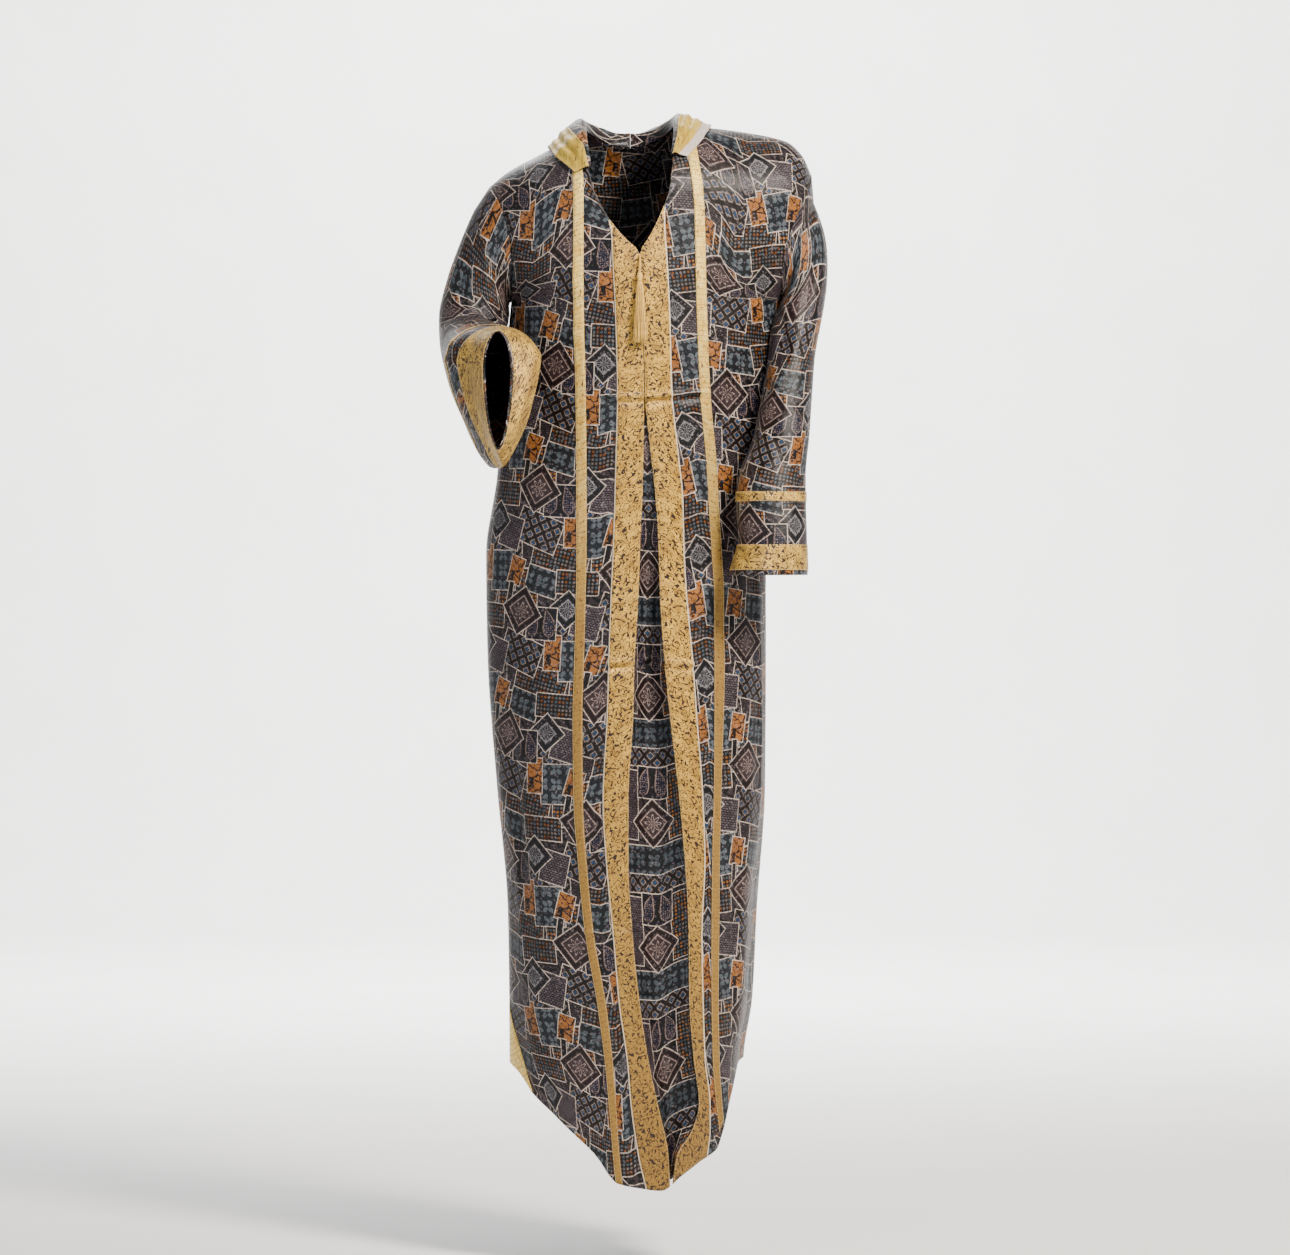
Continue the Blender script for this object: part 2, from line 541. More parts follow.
def dot_grid():
    """A grid of dots in mixed colours, 5.3 mm apart."""
    t, (local, _, ground, one, two) = motif("dot_grid", ["Ground", "One", "Two"])
    dots = add(t, "ShaderNodeTexVoronoi", {"Vector": local, "Scale": 0.19, "Randomness": 0.0}).node
    in_dot = add(t, "ShaderNodeMath", [dots.outputs["Distance"], 0.33], operation="LESS_THAN")
    pick = add(t, "ShaderNodeSeparateColor", [dots.outputs["Color"]])
    warm = add(t, "ShaderNodeMath", [pick, 0.62], operation="GREATER_THAN")
    pale = add(t, "ShaderNodeMath", [pick, 0.3], operation="LESS_THAN")
    hue = add(t, "ShaderNodeMix", {0: warm, 6: one, 7: two}, out=2, data_type="RGBA")
    hues = add(t, "ShaderNodeMix", {0: pale, 6: hue, 7: tint("#5f5652")}, out=2, data_type="RGBA")
    dotted = add(t, "ShaderNodeMix", {0: in_dot, 6: ground, 7: hues}, out=2, data_type="RGBA")
    add(t, "NodeGroupOutput", [dotted])
    return t


def lattice():
    """Small diamonds ring in ring, 13 mm apart."""
    t, (local, _, ground, ring_colour, eye_colour) = motif("lattice", ["Ground", "Ring", "Eye"])
    turned = add(t, "ShaderNodeVectorRotate", {0: local, 3: math.radians(45)}, rotation_type="Z_AXIS")
    cell = add(t, "ShaderNodeVectorMath", [turned, (6.5, 6.5, 10), (-6.5, -6.5, -10)], operation="WRAP")
    size = add(t, "ShaderNodeVectorMath", [cell], operation="ABSOLUTE")
    parts = add(t, "ShaderNodeSeparateXYZ", [size]).node
    reach = add(t, "ShaderNodeMath", [parts.outputs[0], parts.outputs[1]], operation="MAXIMUM")
    ring = add(t, "ShaderNodeMath", [reach, 5.9, 0.8], operation="COMPARE")
    thin = add(t, "ShaderNodeMath", [reach, 3.5, 0.55], operation="COMPARE")
    eye = add(t, "ShaderNodeMath", [reach, 2.3], operation="LESS_THAN")
    ringed = add(t, "ShaderNodeMix", {0: ring, 6: ground, 7: ring_colour}, out=2, data_type="RGBA")
    lined = add(t, "ShaderNodeMix", {0: thin, 6: ringed, 7: tint("#7d716b")}, out=2, data_type="RGBA")
    eyed = add(t, "ShaderNodeMix", {0: eye, 6: lined, 7: eye_colour}, out=2, data_type="RGBA")
    add(t, "NodeGroupOutput", [eyed])
    return t


def cloth_coordinates(t, turn=0.0, shift=(0, 0, 0)):
    """The piece's own cloth coordinates in millimetres, turned and shifted on the cut."""
    uv = add(t, "ShaderNodeUVMap", uv_map="cloth")
    return add(t, "ShaderNodeMapping", {
        "Vector": uv, "Location": shift, "Rotation": (0, 0, turn), "Scale": (1000, 1000, 1000)})


def new_material(name):
    material = bpy.data.materials.new(name)
    material.use_nodes = True
    material.node_tree.nodes.clear()
    return material, material.node_tree


CHARCOAL, NIGHT, OCHRE = "#0d0606", "#040304", "#8f5a28"
SLATE, STEEL, LILAC, TAUPE = "#161d24", "#3f4a52", "#2f2629", "#231916"
GROUPS = {
    "place": patch_place(), "laid": patch_laid(), "medallion": medallion(), "drops": drops(),
    "basket": basket(), "sprigs": sprigs(), "star_flowers": star_flowers(),
    "dot_grid": dot_grid(), "lattice": lattice()}
# The print's patches in one repeat, from the lowest to the uppermost: motif, middle, half
# size, turn in degrees and three colours. Sizes are in millimetres.
PATCHES = [
    ("basket", (8, 8), (36, 22), -12, ("#2c2326", "#40363b", NIGHT)),
    ("basket", (66, 60), (34, 40), 14, ("#3a3035", "#544850", "#070506")),
    ("dot_grid", (72, 8), (40, 20), 5, (CHARCOAL, STEEL, "#67390a")),
    ("lattice", (112, 84), (36, 30), -8, ("#221a18", "#090505", "#193453")),
    ("dot_grid", (14, 128), (34, 26), -6, ("#0e0a0b", STEEL, OCHRE)),
    ("star_flowers", (118, 44), (24, 27), -9, (SLATE, "#4e565d", NIGHT)),
    ("lattice", (34, 42), (34, 23), 13, (TAUPE, "#0a0505", "#1a3655")),
    ("sprigs", (84, 50), (12, 24), -7, (OCHRE, "#230b04", CHARCOAL)),
    ("basket", (124, 98), (20, 22), 7, ("#453b41", "#5c5158", "#0a070a")),
    ("star_flowers", (52, 142), (25, 18), 8, ("#11151a", "#444d54", NIGHT)),
    ("dot_grid", (102, 148), (30, 16), -5, ("#0d0809", STEEL, "#6b3c0d")),
    ("sprigs", (8, 150), (12, 19), 10, (OCHRE, "#131820", CHARCOAL)),
    ("medallion", (94, 110), (19, 19), 41, ("#22252b", "#7a7679", "#060507")),
    ("basket", (2, 112), (4.5, 22), 3, (NIGHT, NIGHT, CHARCOAL)),
    ("drops", (60, 86), (23, 22), -6, (NIGHT, "#72605b", "#0b1126")),
    ("medallion", (26, 98), (24, 24), 49, ("#2f2324", "#8e7c77", "#120302")),
]


# On the inset the motifs stand in one upright column.
COLUMN_PATCHES = [
    ("basket", (-46, 6), (24, 46), 2, ("#3a3035", "#544850", "#070506")),
    ("dot_grid", (46, 4), (24, 46), -2, ("#0e0a0b", STEEL, OCHRE)),
    ("lattice", (0, 72), (68, 15), 0, (TAUPE, "#0a0505", "#1a3655")),
    ("star_flowers", (0, -66), (68, 19), 0, ("#11151a", "#3d454c", NIGHT)),
    ("drops", (1, 36), (23, 21), 2, (NIGHT, "#7d6a64", "#0b1126")),
    ("medallion", (0, -17), (23, 23), 46, ("#2f2324", "#8e7c77", "#120302")),
]


def printed_satin(name, turn=0.0, shift=(0, 0, 0), patches=PATCHES):
    """Printed polyester satin: smooth long floats give it a soft broad shine, and the print
    is matt in its darks. Fine crinkles from folding break the shine up."""
    material, t = new_material(name)
    at = cloth_coordinates(t, turn, shift)
    # Between the patches the ground is dark, with scrolling zigzags, one every 7 mm.
    scroll = add(t, "ShaderNodeTexWave", {
        "Vector": at, "Scale": 0.045, "Distortion": 9.0, "Detail": 1.0, "Detail Scale": 1.4},
        wave_type="BANDS", bands_direction="DIAGONAL")
    dark = add(t, "ShaderNodeMath", [scroll, 0.42], operation="LESS_THAN")
    colour = add(t, "ShaderNodeMix", {0: dark, 6: tint(LILAC), 7: tint(NIGHT)}, out=2, data_type="RGBA")
    for kind, middle, half, degrees, hues in patches:
        placed = add(t, "ShaderNodeGroup", {
            0: at, 1: (*middle, 0), 2: (*half, 1000), 3: math.radians(degrees)},
            node_tree=GROUPS["place"]).node
        drawn = add(t, "ShaderNodeGroup", {
            0: placed.outputs[0], 1: placed.outputs[1], 2: tint(hues[0]), 3: tint(hues[1]),
            4: tint(hues[2])}, node_tree=GROUPS[kind])
        colour = add(t, "ShaderNodeGroup", [colour, drawn, placed.outputs[1]], node_tree=GROUPS["laid"])
    # The ink sinks unevenly into the cloth, in clouds about 40 mm across.
    cloud = add(t, "ShaderNodeTexNoise", {"Vector": at, "Scale": 0.026, "Detail": 3.0})
    depth = add(t, "ShaderNodeMapRange", {0: cloud, 1: 0.3, 2: 0.7, 3: 0.62, 4: 0.98})
    # Fine ornament fills every patch; pale flecks 5 mm apart and thin dark curls stand for it.
    cells = add(t, "ShaderNodeTexVoronoi", {"Vector": at, "Scale": 0.2}, distance="MANHATTAN")
    fleck = add(t, "ShaderNodeMapRange", {0: cells, 1: 0.22, 2: 0.5, 3: 0.42, 4: 0})
    flecked = add(t, "ShaderNodeMix", {0: fleck, 6: colour, 7: tint("#857980")}, out=2, data_type="RGBA")
    winding = add(t, "ShaderNodeTexNoise", {"Vector": at, "Scale": 0.1, "Detail": 1.0})
    level = add(t, "ShaderNodeMath", [winding, 0.1], operation="PINGPONG")
    curl = add(t, "ShaderNodeMapRange", {0: level, 1: 0.012, 2: 0.024, 3: 0.7, 4: 0})
    ornate = add(t, "ShaderNodeMix", {0: curl, 6: flecked, 7: tint(NIGHT)}, out=2, data_type="RGBA")
    inked = add(t, "ShaderNodeVectorMath", {0: ornate, 3: depth}, operation="SCALE")
    # Threads are 0.12 mm apart and are drawn 0.9 mm apart, so that they show.
    weave = add(t, "ShaderNodeTexWave", {
        "Vector": at, "Scale": 0.35, "Distortion": 1.2, "Detail": 1.0}, bands_direction="X")
    crinkle = add(t, "ShaderNodeTexNoise", {"Vector": at, "Scale": 0.055, "Detail": 4.0, "Roughness": 0.55})
    high = add(t, "ShaderNodeMath", [weave, 0.035, crinkle], operation="MULTIPLY_ADD")
    bump = add(t, "ShaderNodeBump", {"Height": high, "Strength": 0.55, "Distance": 0.003})
    shine = add(t, "ShaderNodeMapRange", {0: cloud, 1: 0.3, 2: 0.7, 3: 0.36, 4: 0.5})
    skin = add(t, "ShaderNodeBsdfPrincipled", {
        "Base Color": inked, "Roughness": shine, "Normal": bump, "IOR": 1.4, "Specular IOR Level": 0.35,
        "Sheen Weight": 0.02, "Sheen Roughness": 0.35, "Sheen Tint": tint("#efe6e2")})
    add(t, "ShaderNodeOutputMaterial", [skin])
    return material


def brocade(name, pale, deep, fleck, much=0.5, size=1.0, ladder=0.0, fade=None, selvedge=None):
    """Jacquard brocade with lurex: fine ribs across the band catch the light, and dark
    floats draw loose scrolls and flecks. The metal thread gives it a warm half-metal shine."""
    material, t = new_material(name)
    at = cloth_coordinates(t)
    tone = add(t, "ShaderNodeTexNoise", {"Vector": at, "Scale": 0.06, "Detail": 3.0})
    shade = add(t, "ShaderNodeMapRange", {0: tone, 1: 0.32, 2: 0.68})
    ground = add(t, "ShaderNodeMix", {0: shade, 6: tint(pale), 7: tint(deep)}, out=2, data_type="RGBA")
    if fade:
        parts = add(t, "ShaderNodeSeparateXYZ", [at]).node
        along = add(t, "ShaderNodeMapRange", {0: parts.outputs[1], 1: fade[1], 2: fade[2]})
        ground = add(t, "ShaderNodeMix", {0: along, 6: ground, 7: tint(fade[0])}, out=2, data_type="RGBA")
    # Curling lines are the level lines of a soft noise, broken up by a second one.
    curl = add(t, "ShaderNodeTexNoise", {
        "Vector": at, "Scale": 0.075 / size, "Detail": 1.6, "Distortion": 0.5})
    folded = add(t, "ShaderNodeMath", [curl, 0.11], operation="PINGPONG")
    vine = add(t, "ShaderNodeMath", [folded, mix(0.014, 0.036, much)], operation="LESS_THAN")
    broken = add(t, "ShaderNodeTexNoise", {"Vector": at, "Scale": 0.16 / size, "Detail": 2.0})
    kept = add(t, "ShaderNodeMath", [broken, mix(0.6, 0.42, much)], operation="GREATER_THAN")
    scrolls = add(t, "ShaderNodeMath", [vine, kept], operation="MULTIPLY")
    buds = add(t, "ShaderNodeTexVoronoi", {"Vector": at, "Scale": 0.27 / size})
    bud = add(t, "ShaderNodeMath", [buds, mix(0.14, 0.26, much)], operation="LESS_THAN")
    marks = add(t, "ShaderNodeMath", [scrolls, bud], operation="MAXIMUM")
    if ladder:
        # Woven rungs 7 mm apart across the trim.
        rungs = add(t, "ShaderNodeTexBrick", {
            "Vector": at, "Color1": (0, 0, 0, 1), "Color2": (0, 0, 0, 1), "Mortar": (1, 1, 1, 1),
            "Scale": 1.0, "Mortar Size": 0.45, "Mortar Smooth": 0.0, "Brick Width": 60.0, "Row Height": 7.0})
        rung = add(t, "ShaderNodeMath", [rungs, ladder], operation="MULTIPLY")
        marks = add(t, "ShaderNodeMath", [marks, rung], operation="MAXIMUM")
    colour = add(t, "ShaderNodeMix", {0: marks, 6: ground, 7: tint(fleck)}, out=2, data_type="RGBA")
    if selvedge:
        across = add(t, "ShaderNodeSeparateXYZ", [at])
        on_edge = add(t, "ShaderNodeMath", [across, 1.6], operation="LESS_THAN")
        colour = add(t, "ShaderNodeMix", {0: on_edge, 6: colour, 7: tint(selvedge)}, out=2, data_type="RGBA")
    # Ribs are 0.8 mm apart and are drawn 1.6 mm apart, so that they show.
    ribs = add(t, "ShaderNodeTexWave", {
        "Vector": at, "Scale": 0.196, "Distortion": 0.6, "Detail": 1.0}, bands_direction="X")
    weft = add(t, "ShaderNodeTexWave", {
        "Vector": at, "Scale": 0.12, "Distortion": 1.6, "Detail": 1.0}, bands_direction="Y")
    cord = add(t, "ShaderNodeMath", [weft, 0.5, ribs], operation="MULTIPLY_ADD")
    puckers = add(t, "ShaderNodeTexNoise", {"Vector": at, "Scale": 0.05, "Detail": 2.0})
    high = add(t, "ShaderNodeMath", [puckers, 4.0, cord], operation="MULTIPLY_ADD")
    raised = add(t, "ShaderNodeMath", [marks, 0.6, high], operation="MULTIPLY_ADD")
    bump = add(t, "ShaderNodeBump", {"Height": raised, "Strength": 0.5, "Distance": 0.0005})
    shine = add(t, "ShaderNodeMapRange", {0: cord, 1: 0.0, 2: 1.5, 3: 0.52, 4: 0.36})
    skin = add(t, "ShaderNodeBsdfPrincipled", {
        "Base Color": colour, "Roughness": shine, "Normal": bump, "Metallic": 0.22, "IOR": 1.5,
        "Sheen Weight": 0.1, "Sheen Roughness": 0.4, "Sheen Tint": tint("#fff2cc")})
    add(t, "ShaderNodeOutputMaterial", [skin])
    return material


def plain_thread(name, pale, deep, roughness=0.5):
    """Twisted rayon thread: lustrous, with fine slanting plies."""
    material, t = new_material(name)
    place = add(t, "ShaderNodeTexCoord", out="Object")
    at = add(t, "ShaderNodeMapping", {
        "Vector": place, "Rotation": (0, 0.5, 0.3), "Scale": (1000, 1000, 1000)})
    # Plies are 0.4 mm apart and are drawn 0.9 mm apart, so that they show.
    plies = add(t, "ShaderNodeTexWave", {
        "Vector": at, "Scale": 0.314 / 0.9, "Distortion": 1.5, "Detail": 1.0}, bands_direction="Z")
    cloud = add(t, "ShaderNodeTexNoise", {"Vector": at, "Scale": 0.12, "Detail": 3.0})
    both = add(t, "ShaderNodeMath", [plies, 0.35, cloud], operation="MULTIPLY_ADD")
    share = add(t, "ShaderNodeMapRange", {0: both, 1: 0.35, 2: 0.95})
    colour = add(t, "ShaderNodeMix", {0: share, 6: tint(deep), 7: tint(pale)}, out=2, data_type="RGBA")
    bump = add(t, "ShaderNodeBump", {"Height": plies, "Strength": 0.4, "Distance": 0.0003})
    skin = add(t, "ShaderNodeBsdfPrincipled", {
        "Base Color": colour, "Roughness": roughness, "Normal": bump, "IOR": 1.5,
        "Sheen Weight": 0.25, "Sheen Roughness": 0.4, "Sheen Tint": tint(pale)})
    add(t, "ShaderNodeOutputMaterial", [skin])
    return material


def silk_ribbon():
    """Pale satin ribbon with grey lines woven along it, 2.2 mm apart."""
    material, t = new_material("silk_ribbon")
    at = cloth_coordinates(t)
    lines = add(t, "ShaderNodeTexWave", {
        "Vector": at, "Scale": 0.143, "Distortion": 0.3}, bands_direction="Y")
    thin = add(t, "ShaderNodeMapRange", {0: lines, 1: 0.2, 2: 0.45})
    colour = add(t, "ShaderNodeMix", {
        0: thin, 6: tint("#8f8583"), 7: tint("#cbbab0")}, out=2, data_type="RGBA")
    bump = add(t, "ShaderNodeBump", {"Height": lines, "Strength": 0.4, "Distance": 0.0004})
    skin = add(t, "ShaderNodeBsdfPrincipled", {
        "Base Color": colour, "Roughness": 0.34, "Normal": bump, "IOR": 1.5, "Sheen Weight": 0.2})
    add(t, "ShaderNodeOutputMaterial", [skin])
    return material


SATIN_FRONT_RIGHT = printed_satin("printed_satin_front_right", math.radians(9), (40, 25, 0))
SATIN_FRONT_LEFT = printed_satin("printed_satin_front_left", math.radians(-2), (5, 60, 0))
SATIN_BACK = printed_satin("printed_satin_back", 0.0, (60, 10, 0))
SATIN_INSET = printed_satin("printed_satin_inset", 0.0, (0, 40, 0), COLUMN_PATCHES)
SATIN_SLEEVE_RIGHT = printed_satin("printed_satin_sleeve_right", math.radians(-14), (20, 70, 0))
SATIN_SLEEVE_LEFT = printed_satin("printed_satin_sleeve_left", math.radians(6), (90, 30, 0))
SATIN_HOOD = printed_satin("printed_satin_hood", math.radians(20), (15, 45, 0))
BAND_GOLD = brocade("band_brocade", "#d6a942", "#9a7222", "#1f0e07", much=1.0, size=0.66,
                    fade=("#8a6726", 600, 1250), selvedge="#e6d5bd")
TRIM_GOLD = brocade("trim_brocade", "#f6dc82", "#dfb145", "#5a3812", much=0.35, size=0.7, ladder=0.5,
                    fade=("#8c6a28", 180, 640))
CUFF_GOLD = brocade("cuff_brocade", "#d3aa48", "#8f6c26", "#1f0e07", much=1.0, size=0.66)
HOOD_GOLD = brocade("hood_brocade", "#dabb48", "#9c7d22", "#352809", much=0.3, size=0.8)
TASSEL_THREAD = plain_thread("tassel_thread", "#e9c365", "#b78a36")
SEWING_THREAD = plain_thread("sewing_thread", "#e8d3a0", "#a98b56", roughness=0.6)
RIBBON = silk_ribbon()

# Front panels, bands and trims ------------------------------------------------------------
UPPER_ROWS = 40  # rows from the shoulder line to the armpit
CREASE_LEVELS = (-362, -722, -1080)
CREASE_REACH = 16  # how far above and below a storage crease the rows are close
CREASE_ROWS = [z for level in CREASE_LEVELS
               for z in range(level - CREASE_REACH, level + CREASE_REACH + 1, 2)]
COARSE_ROWS = [z for z in range(ARMPIT - 7, -1190, -7)
               if all(abs(z - level) > CREASE_REACH + 1 for level in CREASE_LEVELS)]
PLAIN_ROWS = sorted(CREASE_ROWS + COARSE_ROWS, reverse=True)
LOW = PLAIN_ROWS[-1]
HEM_ROWS = 34


def upper_level(row):
    return lambda top, hem: mix(top, ARMPIT, (1 - math.cos(math.pi * row / UPPER_ROWS)) / 2)


def plain_level(z):
    return lambda top, hem: np.full_like(top, float(z))


def hem_level(row):
    return lambda top, hem: mix(LOW, hem, row / HEM_ROWS)


LEVELS = [upper_level(r) for r in range(UPPER_ROWS + 1)]
LEVELS += [plain_level(z) for z in PLAIN_ROWS]
LEVELS += [hem_level(r) for r in range(1, HEM_ROWS + 1)]
SEAM_ANGLE = SEAM / 2 / 180


def side_angle(z):
    return np.arccos(armhole_share(z))


def vent_width(z):
    return mix(0.235, 0.69, np.clip((VENT_TOP - z) / 115, 0, 1))


def front_lines(side, way):
    """The lines of a front from its side seam to its front edge; way is -1 on the wearer's
    right and 1 on the left."""
    def edge(z):
        least = right_front(z, "edge") if way > 0 else -1e9
        return np.maximum(side(z, "edge"), least) + way * SEAM * 0.7

    def band(z):
        start, stop = side(z, "band"), side(z, "edge")
        return np.minimum(start, stop - 3) if way < 0 else np.maximum(start, stop + 3)

    def trim(z, sign):
        return front_angle(side(z, "trim") + sign * way * side(z, "wide") / 2, z)

    return [
        lambda z: way * (side_angle(z) - SEAM_ANGLE),
        lambda z: way * (side_angle(z) - 0.225),
        lambda z: way * (side_angle(z) - (vent_width(z) if way < 0 else 0.45)),
        lambda z: trim(z, 1),
        lambda z: trim(z, -1),
        lambda z: front_angle(band(z), z),
        lambda z: front_angle(edge(z), z),
    ]


FRONT_STEPS = [8, 6, 14, 4, 10, 8]
START = np.concatenate([[0], np.cumsum(FRONT_STEPS)])
VENT_COLUMNS, TRIM_COLUMNS, BAND_COLUMNS = START[1:3], START[3:5], START[5:7]


def first_row(points, column, z):
    """The first row that lies below a height in a column."""
    return int(np.argmax(points[:, column, 2] < z))


def laid(name, grid, normal, rows, columns, material, node, flat, area, on, closed=False):
    """A band of brocade laid on a panel's own grid, so that it lies close on every fold."""
    picked = np.s_[rows[0]:rows[1] + 1, columns[0]:columns[1] + 1]
    points = grid[picked]
    uv = np.stack([lengths(points, 1), lengths(points, 0)], -1)
    obj = cloth(name, points, normal[picked], uv, material, out=LAID, thick=BROCADE, closed=closed)
    return show(obj, node, "brocade", flat, area, held="laid", rests_on=[on])


seam_lines = []  # the lines along which stitches run


def remember(points, normal, lift):
    """Keeps a line on the cloth, lifted off it, for the stitches."""
    seam_lines.append(points + normal * lift)


def front(side, way, name, material, trim_top, band_top, cuts):
    """A front panel with the band on its edge, the trim down it and, on the wearer's right,
    the three-cornered trim at the vent."""
    _, points = body_grid(front_lines(side, way), FRONT_STEPS, LEVELS,
                          lambda x: shoulder(x, "z"), lambda x: front_hem(x, "z"))
    points[0, :, 1] -= SEAM / 2
    normal = normals(points, flip=way < 0)
    uv = np.stack([-way * lengths(points, 1, TRIM_COLUMNS[0]), -lengths(points, 0, UPPER_ROWS)], -1)
    panel = cloth(f"satin_front_{name}", points, normal, uv, material)
    show(panel, f"front_panel_{name}", "print", *cuts["panel"])
    last = len(LEVELS) - 1
    band_rows = (first_row(points, BAND_COLUMNS[0], band_top), last)
    laid(f"brocade_band_{name}", points, normal, band_rows, BAND_COLUMNS, BAND_GOLD,
         f"front_band_{name}", *cuts["band"], panel.name)
    trim_end = last if way < 0 else first_row(points, TRIM_COLUMNS[0], LEFT_TRIM_END)
    trim_rows = (first_row(points, TRIM_COLUMNS[0], trim_top), trim_end)
    laid(f"brocade_trim_{name}", points, normal, trim_rows, TRIM_COLUMNS, TRIM_GOLD,
         f"side_trim_{name}", *cuts["trim"], panel.name)
    for (low, high), (a, b) in [(band_rows, BAND_COLUMNS), (trim_rows, TRIM_COLUMNS)]:
        for edge_column, inner_column in [(a, a + 1), (b, b - 1)]:
            line = mix(points[low:high + 1, edge_column], points[low:high + 1, inner_column], 0.25)
            remember(line, normal[low:high + 1, edge_column], STITCH_LIFT)
    if way < 0:
        vent_rows = (first_row(points, VENT_COLUMNS[0], VENT_TOP + 4), last)
        laid("brocade_vent", points, normal, vent_rows, VENT_COLUMNS, TRIM_GOLD,
             "vent_trim_right", *cuts["vent"], panel.name)


LEFT_TRIM_END = -1336
# Each piece's flat cut: width and length in metres, and its area where it isn't a rectangle.
RIGHT_CUTS = {"panel": ((0.36, 1.52), 0.33), "band": ((0.045, 1.31), 0.046),
              "trim": ((0.015, 1.39), 0.0196), "vent": ((0.075, 0.11), 0.0028)}
LEFT_CUTS = {"panel": ((0.26, 1.52), 0.27), "band": ((0.065, 1.33), 0.043),
             "trim": ((0.018, 1.34), 0.0195)}
front(right_front, -1, "right", SATIN_FRONT_RIGHT, -40, -128, RIGHT_CUTS)
front(left_front, 1, "left", SATIN_FRONT_LEFT, -20, -108, LEFT_CUTS)


# Back panel -------------------------------------------------------------------------------
def neckline(x):
    return shoulder(x, "z") - NECK_DIP * np.maximum(1 - (x / NECK_HALF) ** 2, 0)


BACK_STEPS = [24, 26, 24]
BACK_MIDDLE = 37


def back_panel():
    lines = [
        lambda z: math.pi - side_angle(z) + SEAM_ANGLE,
        lambda z: math.pi - front_angle(NECK_HALF, z),
        lambda z: math.pi - front_angle(-NECK_HALF, z),
        lambda z: math.pi + side_angle(z) - SEAM_ANGLE,
    ]
    _, points = body_grid(lines, BACK_STEPS, LEVELS, neckline, lambda x: back_hem(x, "z"))
    points[0, :, 1] = np.maximum(points[0, :, 1], SEAM / 2)
    normal = normals(points, flip=True)
    uv = np.stack([lengths(points, 1, BACK_MIDDLE), -lengths(points, 0, UPPER_ROWS)], -1)
    panel = cloth("satin_back", points, normal, uv, SATIN_BACK)
    show(panel, "back_panel", "print", (0.58, 1.40), 0.64)


back_panel()


# The inverted pleat -----------------------------------------------------------------------
INSET_ROWS = 170
LAP_STEPS, HOLLOW_STEPS = 4, 24
INSET_SHORTER = 5  # how far above the fronts' hem the inset's own hem lies


def pleat_inset():
    """The cloth behind the front edges, its middle set back in a hollow that deepens."""
    lines = [
        lambda z: front_angle(right_front(z, "edge") - PLEAT_LAP, z),
        lambda z: front_angle(right_front(z, "edge"), z),
        lambda z: front_angle(left_front(z, "edge"), z),
        lambda z: front_angle(left_front(z, "edge") + PLEAT_LAP, z),
    ]
    levels = [(lambda top, hem, share=r / INSET_ROWS: mix(top, hem, share))
              for r in range(INSET_ROWS + 1)]
    z, points = body_grid(lines, [LAP_STEPS, HOLLOW_STEPS, LAP_STEPS], levels,
                          lambda x: np.full_like(x, float(PLEAT_TOP)),
                          lambda x: front_hem(x, "z") + INSET_SHORTER)
    normal = normals(points, flip=True)
    across = np.clip((np.arange(points.shape[1]) - LAP_STEPS) / HOLLOW_STEPS, 0, 1)[None, :]
    hollow = smooth((PLEAT_TOP - z) / 420) * PLEAT_HOLLOW * np.sin(math.pi * across) ** 0.8
    clear = 0.5 + 4 * smooth((-1120 - z) / 200)
    points = points - normal * (1.4 + clear + hollow)[..., None]
    normal = normals(points, flip=True)
    down = np.repeat(lengths(points, 0).mean(1, keepdims=True), points.shape[1], axis=1)
    uv = np.stack([lengths(points, 1, LAP_STEPS + HOLLOW_STEPS // 2), -down], -1)
    panel = cloth("satin_inset", points, normal, uv, SATIN_INSET)
    show(panel, "pleat_inset", "print", (0.138, 1.04), 0.103)


pleat_inset()

# Sleeves ----------------------------------------------------------------------------------
SLEEVE_NAMES = "x y z wide front back lean bend pinch"
right_sleeve = Chart(SLEEVE_NAMES, [
    [1, -188, 0, -172, 70, 60, 60, 20, 0, 1], [2, -197, -1, -203, 62, 58, 60, 34, 0, 1],
    [3, -207, -4, -236, 54, 56, 60, 52, 4, 1], [4, -214, -14, -266, 48, 52, 62, 72, 22, 1.05],
    [5, -212, -45, -290, 46, 46, 76, 86, 52, 1.12], [6, -201, -88, -304, 51, 42, 108, 90, 78, 1.25],
    [7, -190, -128, -314, 57, 44, 136, 90, 90, 1.4], [8, -183, -162, -320, 59, 48, 142, 90, 90, 1.5],
    [9, -168, -196, -326, 46, 48, 134, 90, 90, 1.5], [10, -174, -228, -334, 17, 50, 104, 90, 90, 1.15]])
left_sleeve = Chart(SLEEVE_NAMES, [
    [1, 228, 0, -166, 72, 62, 62, 18, 0, 1], [2, 231, -6, -196, 62, 60, 60, 34, 0, 1],
    [3, 229, -14, -226, 50, 58, 58, 52, 0, 1], [4, 224, -28, -262, 40, 55, 56, 70, 0, 1],
    [5, 217, -52, -318, 33, 51, 52, 82, 0, 1], [6, 210, -76, -372, 35, 48, 50, 88, 0, 1],
    [7, 203, -96, -420, 38, 46, 48, 90, 0, 1], [8, 191, -110, -470, 45, 45, 47, 90, 0, 1],
    [9, 189, -118, -508, 47, 45, 47, 90, 0, 1], [10, 191, -126, -554, 46, 46, 48, 90, 0, 1],
    [11, 185, -133, -604, 53, 48, 50, 90, 0, 1]])
SLEEVE_COLUMNS = 72
